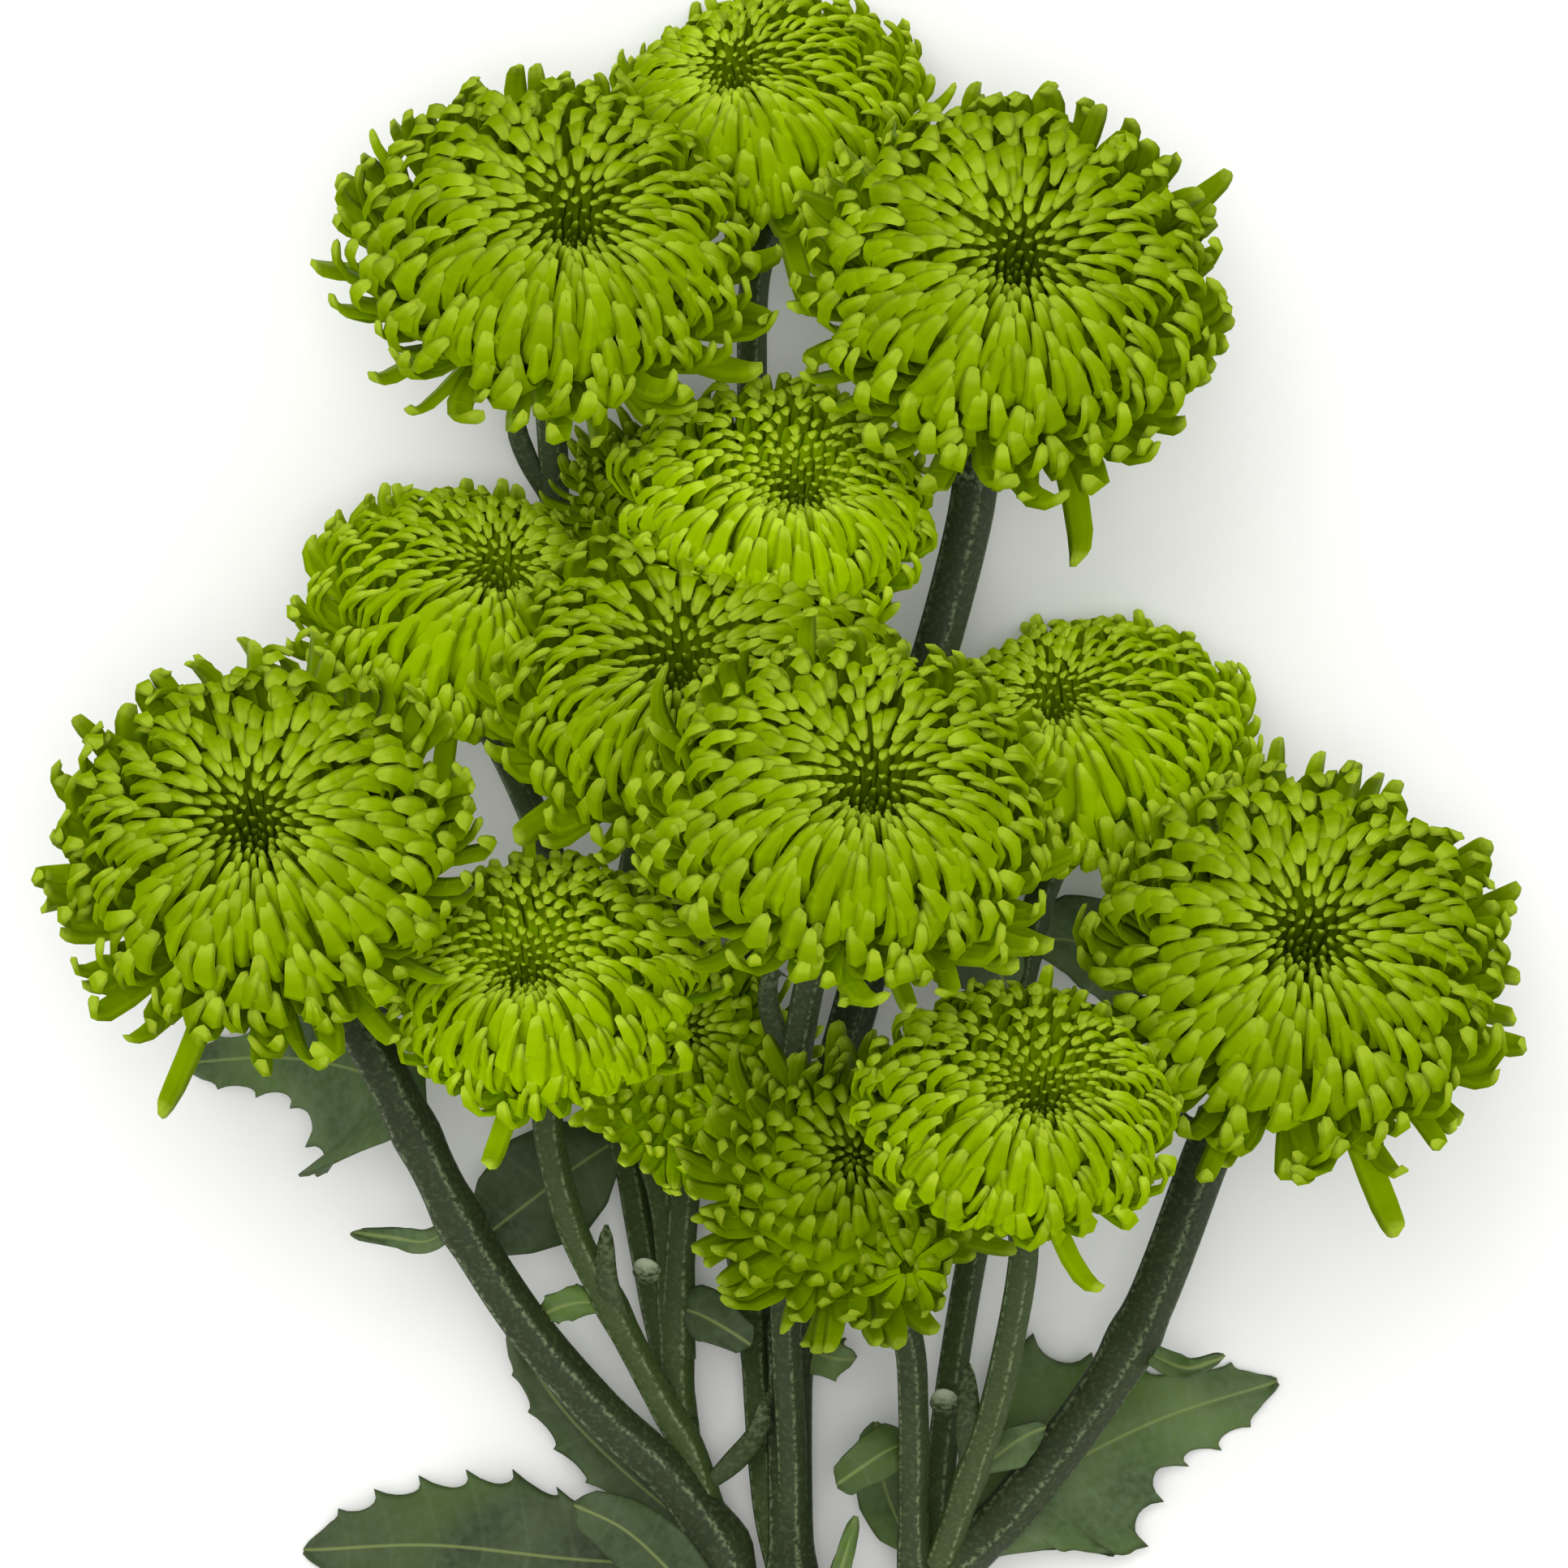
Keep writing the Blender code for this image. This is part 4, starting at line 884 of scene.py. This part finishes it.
def build_leaf(name, material):
    """A thin leaf with thorned edges, a sunken midrib and side veins that run to the thorns."""
    way, *widths, droop = LEAVES[name]
    line, spots = smooth_line(way, LEAF_STEP)
    length = spots[-1]
    thorns = max(FEWEST_THORNS, round(length / THORN_SPACING))
    rows = thorns * STEPS_PER_THORN
    shape = bmesh.new()
    bmesh.ops.create_grid(shape, x_segments=rows, y_segments=LEAF_COLUMNS, size=1.0)
    mesh = finished(shape, name + "_blade")
    flat = read_points(mesh)
    t = (flat[:, 0] + 1) / 2
    u = flat[:, 1]
    ahead = frames_along(line, (1, 0, 0))[0]
    side = np.cross((0, 0, 1), ahead)
    side /= np.linalg.norm(side, axis=1, keepdims=True)
    top = np.cross(ahead, side)

    def along(rows):
        return between(t * length, spots, rows)

    def half_width(place):
        left, right = [np.interp(place, np.linspace(0, 1, len(row)), row)
                       for row in (widths[0], widths[-1])]
        return np.where(u > 0, left, right)

    phase = t * thorns
    scallop = np.sin(math.pi * (phase % 1.0)) if name in THORNY else 0.5
    edge = np.abs(u)
    slant = LEAF_SLANT * eased((1 - t) * 3)
    reach = half_width(t)
    for _ in range(12):
        reach = half_width(np.clip(t + slant * reach / length, 0, 1))
    small = np.clip(reach / FULL_SCALLOP_WIDTH, 0, 1)
    reach = reach + small * edge * (THORN_LENGTH - SCALLOP_DEPTH * scallop ** 0.6)
    reach *= np.sqrt(np.clip((1 - t) / TIP_SHARE, 0.02, 1))
    thorn_lean = small * THORN_LEAN * edge * edge * (1 - scallop) ** 2 * eased((1 - t) * 6)
    lean = slant * edge * reach + thorn_lean
    ripple = RIPPLE_HEIGHT * np.sin(phase * 2.1 + u * 2) * edge
    rib = -MIDRIB_DEPTH * np.exp(-(u * reach / MIDRIB_HALF_WIDTH) ** 2)
    height = ripple + rib - reach * edge * droop * (1 + EDGE_DROOP * edge)
    points = (along(line) + along(side) * (u * reach)[:, None] + along(top) * height[:, None]
              + along(ahead) * lean[:, None])
    points[:, 2] = np.maximum(points[:, 2], TABLE_GAP + LEAF_THICKNESS / 2)
    set_points(mesh, points)
    # Leaves in the shade are dark, and the others differ a little from one another
    tone = 1.0 if name in DARK_LEAVES else int(name[-2:]) * 0.37 % 0.5
    set_shades(mesh, "leaf", np.abs(u * reach) / 10, phase, tone, edge)
    mesh.shade_smooth()
    piece = add_object(name + "_blade", mesh)
    thick = piece.modifiers.new("thickness", "SOLIDIFY")
    thick.thickness = LEAF_THICKNESS * MM
    thick.offset = 0.0
    mesh.materials.append(material)
    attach(piece, "root")
    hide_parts(name)


def linear(hex_colour):
    """A colour written as sRGB hex, turned to the linear values that a shader takes."""
    values = [int(hex_colour[start:start + 2], 16) / 255 for start in (1, 3, 5)]
    values = [value / 12.92 if value <= 0.04045 else ((value + 0.055) / 1.055) ** 2.4
              for value in values]
    return (*values, 1.0)


def new_material(name):
    """A plain material and its surface shader."""
    material = bpy.data.materials.new(name)
    material.use_nodes = True
    return material, material.node_tree.nodes["Principled BSDF"]


def feed(node, inputs):
    """Give a node's inputs values, outputs, or the first outputs that other nodes show."""
    for name, value in inputs.items():
        if isinstance(value, bpy.types.Node):
            value = next(socket for socket in value.outputs if socket.enabled)
        if isinstance(value, bpy.types.NodeSocket):
            node.id_data.links.new(value, node.inputs[name])
        else:
            node.inputs[name].default_value = value


def add_node(material, kind, inputs=None, **settings):
    """Add a node with its settings, and feed it."""
    node = material.node_tree.nodes.new("ShaderNode" + kind)
    for name, value in settings.items():
        setattr(node, name, value)
    feed(node, inputs or {})
    return node


def layered(material, colour, layers):
    """A colour under layers of other ones, each with the share that it covers."""
    for share, layer in layers:
        colour = add_node(material, "Mix", {"Factor": share, 6: colour, 7: linear(layer)},
                          data_type="RGBA")
    return colour


def shaded_material(name, attribute):
    """A material, its shader, the four numbers that its mesh carries, and the place on it."""
    material, shader = new_material(name)
    shades = add_node(material, "Attribute", attribute_name=attribute)
    parts = add_node(material, "SeparateColor", {"Color": shades})
    place = add_node(material, "TexCoord").outputs["Object"]
    return material, shader, (*parts.outputs, shades.outputs["Alpha"]), place


def petal_flesh():
    """Living petals: fleshy and matt, with a mottle of 2.4 mm, fine ribs and a weak sheen.

    The roots are painted bright, standing in for light that passes from petal to petal into the
    hidden gaps, so each petal goes from a clear yellow-green root to a deeper body and a pale lime
    tip, which is partly its own paler colour and partly a painted highlight. Round the eye the
    roots are painted in shade.
    """
    material, shader, shades, place = shaded_material("petal flesh", "petal")
    along, across, mesh_tone, light = shades
    mottle = add_node(material, "TexNoise", {"Vector": place, "Scale": 420.0, "Detail": 3.0})
    shift = add_node(material, "Math", {0: mottle, 1: 0.08, 2: along}, operation="MULTIPLY_ADD")
    ramp = add_node(material, "ValToRGB", {"Fac": shift})
    stops = ramp.color_ramp.elements
    stops.remove(stops[-1])
    # Painted light: a bright root for light passed through the petals, and a pale tip that is
    # partly a painted highlight
    stops[0].position, stops[0].color = 0.10, linear("#A4CA00")
    for position, colour in ((0.60, "#92B400"), (0.85, "#7F9D00"), (0.95, "#8AA608"),
                             (1.0, "#A4BC2E")):
        stops.new(position).color = linear(colour)
    groove = add_node(material, "Math", {0: across, 1: 22.0}, operation="MULTIPLY")
    wave = add_node(material, "Math", {0: groove}, operation="SINE")
    ribs = add_node(material, "Bump", {"Height": wave, "Strength": 0.35, "Distance": 0.08 * MM})
    # The tone differs at random from petal to petal, and is painted lighter on shaded blooms
    vary = add_node(material, "MapRange", {"Value": mesh_tone, "To Min": 0.81, "To Max": 1.19})
    tone = add_node(material, "HueSaturation", {"Color": ramp, "Value": vary})
    # Painted shade and duller green: towards this darker colour where the light number is low,
    # which is round the eye and on blooms whose own green is duller
    dull_and_shaded = add_node(material, "Mix", {"Factor": 1.0, 6: tone, 7: linear("#5A6830")},
                    data_type="RGBA", blend_type="MULTIPLY")
    aged_and_shaded = add_node(material, "Mix", {"Factor": light, 6: dull_and_shaded, 7: tone}, data_type="RGBA")
    feed(shader, {"Base Color": aged_and_shaded, "Normal": ribs, "Roughness": 0.55,
                  "Specular IOR Level": 0.12, "Specular Tint": linear("#E0F000")})
    return material


def stem_skin():
    """Green stem skin: dark and matt, with fine pale ridges, short down and woolly buds.

    The down is drawn in specks of 0.8 mm, coarser than the real hairs, so that it shows.
    """
    material, shader, shades, place = shaded_material("downy stem skin", "stem")
    ridges, paleness, mesh_tone, skin = shades
    down = add_node(material, "TexNoise", {"Vector": place, "Scale": 1300.0, "Detail": 4.0})
    patch = add_node(material, "TexNoise", {"Vector": place, "Scale": 90.0, "Detail": 2.0})
    ridge = add_node(material, "MapRange", {"Value": ridges, "From Min": 0.72, "To Max": 0.8})
    raised = add_node(material, "Math", {0: ridge, 1: paleness}, operation="MAXIMUM")
    dots = add_node(material, "MapRange", {
        "Value": down, "From Min": 0.42, "From Max": 0.62, "To Max": 0.75})
    broken = add_node(material, "Math", {0: raised, 1: dots}, operation="MULTIPLY", use_clamp=True)
    fuzz = add_node(material, "MapRange", {
        "Value": paleness, "From Min": 0.9, "From Max": 1.8, "To Max": 0.85})
    specks = add_node(material, "MapRange", {
        "Value": down, "From Min": 0.50, "From Max": 0.75, "To Max": 0.35})
    hairy = layered(material, linear("#171E0B"), (
        (patch, "#2A3518"), (mesh_tone, "#3C501C"), (broken, "#8A9A70"), (fuzz, "#B4BEA0"),
        (specks, "#5E6C44")))
    cut = add_node(material, "Mix", {"Factor": skin, 6: linear("#A9B37A"), 7: hairy},
                   data_type="RGBA")
    bump = add_node(material, "Bump", {"Height": down, "Strength": 0.4, "Distance": 0.15 * MM})
    feed(shader, {"Base Color": cut, "Normal": bump, "Roughness": 0.62,
                  "Specular IOR Level": 0.3})
    return material


def leaf_skin():
    """Chrysanthemum leaf: matt grey-green in patches of 2 cm, some of them yellower.

    It has a thin yellowish midrib, faint side veins, a dark edge and a grain of 1.4 mm.
    """
    material, shader, shades, place = shaded_material("matt leaf skin", "leaf")
    beside, thorns, mesh_tone, outward = shades
    patch = add_node(material, "TexNoise", {"Vector": place, "Scale": 60.0, "Detail": 3.0})
    grain = add_node(material, "TexNoise", {"Vector": place, "Scale": 700.0, "Detail": 4.0})
    stain = add_node(material, "TexNoise", {"Vector": place, "Scale": 45.0, "Detail": 1.0})
    spread = add_node(material, "MapRange", {"Value": patch, "From Min": 0.32, "From Max": 0.68})
    stained = add_node(material, "MapRange", {
        "Value": stain, "From Min": 0.46, "From Max": 0.70, "To Max": 0.60})
    fleck = add_node(material, "MapRange", {
        "Value": grain, "From Min": 0.35, "From Max": 0.70, "To Max": 0.45})
    body = layered(material, linear("#2B4217"), (
        (spread, "#5A6E3E"), (stained, "#5A7A18"), (fleck, "#5F7450")))
    # Painted shade: leaves in the shade get the darkest tone, and the others differ a little at
    # random
    shade = add_node(material, "MapRange", {"Value": mesh_tone, "To Min": 1.0, "To Max": 0.54})
    toned = add_node(material, "HueSaturation", {"Color": body, "Value": shade})
    wave = add_node(material, "Math", {0: thorns, 1: 0.5}, operation="PINGPONG")
    side_vein = add_node(material, "MapRange", {
        "Value": wave, "From Max": 0.07, "To Min": 0.06, "To Max": 0.0})
    midrib = add_node(material, "MapRange", {
        "Value": beside, "From Min": 0.008, "From Max": 0.035, "To Min": 0.55, "To Max": 0.0})
    rim = add_node(material, "MapRange", {"Value": outward, "From Min": 0.94, "To Max": 0.5})
    edged = layered(material, toned, (
        (side_vein, "#7C9060"), (midrib, "#808F4C"), (rim, "#2A361C")))
    bump = add_node(material, "Bump", {"Height": grain, "Strength": 0.35, "Distance": 0.2 * MM})
    feed(shader, {"Base Color": edged, "Normal": bump, "Roughness": 0.6,
                  "Specular IOR Level": 0.3})
    return material


def build_stage():
    """A plain pale table top under soft light, and the camera straight above."""
    shape = bmesh.new()
    bmesh.ops.create_grid(shape, x_segments=1, y_segments=1, size=TABLE_HALF_WIDTH)
    mesh = finished(shape, "table_top")
    table = add_object("table_top", mesh)
    material, shader = new_material("pale paper")
    feed(shader, {"Base Color": linear("#F4F4F2"), "Roughness": 0.9})
    mesh.materials.append(material)

    def soft_light(name, place, size, power):
        lamp = bpy.data.lights.new(name, "AREA")
        lamp.shape = "DISK"
        lamp.size = size
        lamp.energy = power
        thing = add_object(name, lamp)
        thing.location = place
        aim = Vector(LIT_SPOT) - Vector(place)
        thing.rotation_euler = aim.to_track_quat("-Z", "Y").to_euler()

    soft_light("key_light", (-0.4, 0.8, 1.8), 1.3, 10.0)
    soft_light("top_light", (0.1, -0.1, 2.6), 1.0, 11.5)

    world = bpy.data.worlds.new("studio")
    bpy.context.scene.world = world
    world.use_nodes = True
    feed(world.node_tree.nodes["Background"], {"Color": linear("#FFFFFF"), "Strength": 1.0})

    lens = bpy.data.cameras.new("camera")
    lens.sensor_width = SENSOR_WIDTH
    lens.lens = SENSOR_WIDTH * CAMERA_HEIGHT / PICTURE_WIDTH
    lens.clip_end = 20.0
    camera = add_object("camera", lens)
    camera.location = (0.0, HEAD_MIDDLE, CAMERA_HEIGHT)
    bpy.context.scene.camera = camera
    bpy.context.scene.view_settings.view_transform = "Standard"


flesh = petal_flesh()
for name in BLOOMS:
    build_bloom(name, flesh)
build_stem(stem_skin())
blade_skin = leaf_skin()
for name in LEAVES:
    build_leaf(name, blade_skin)
build_stage()
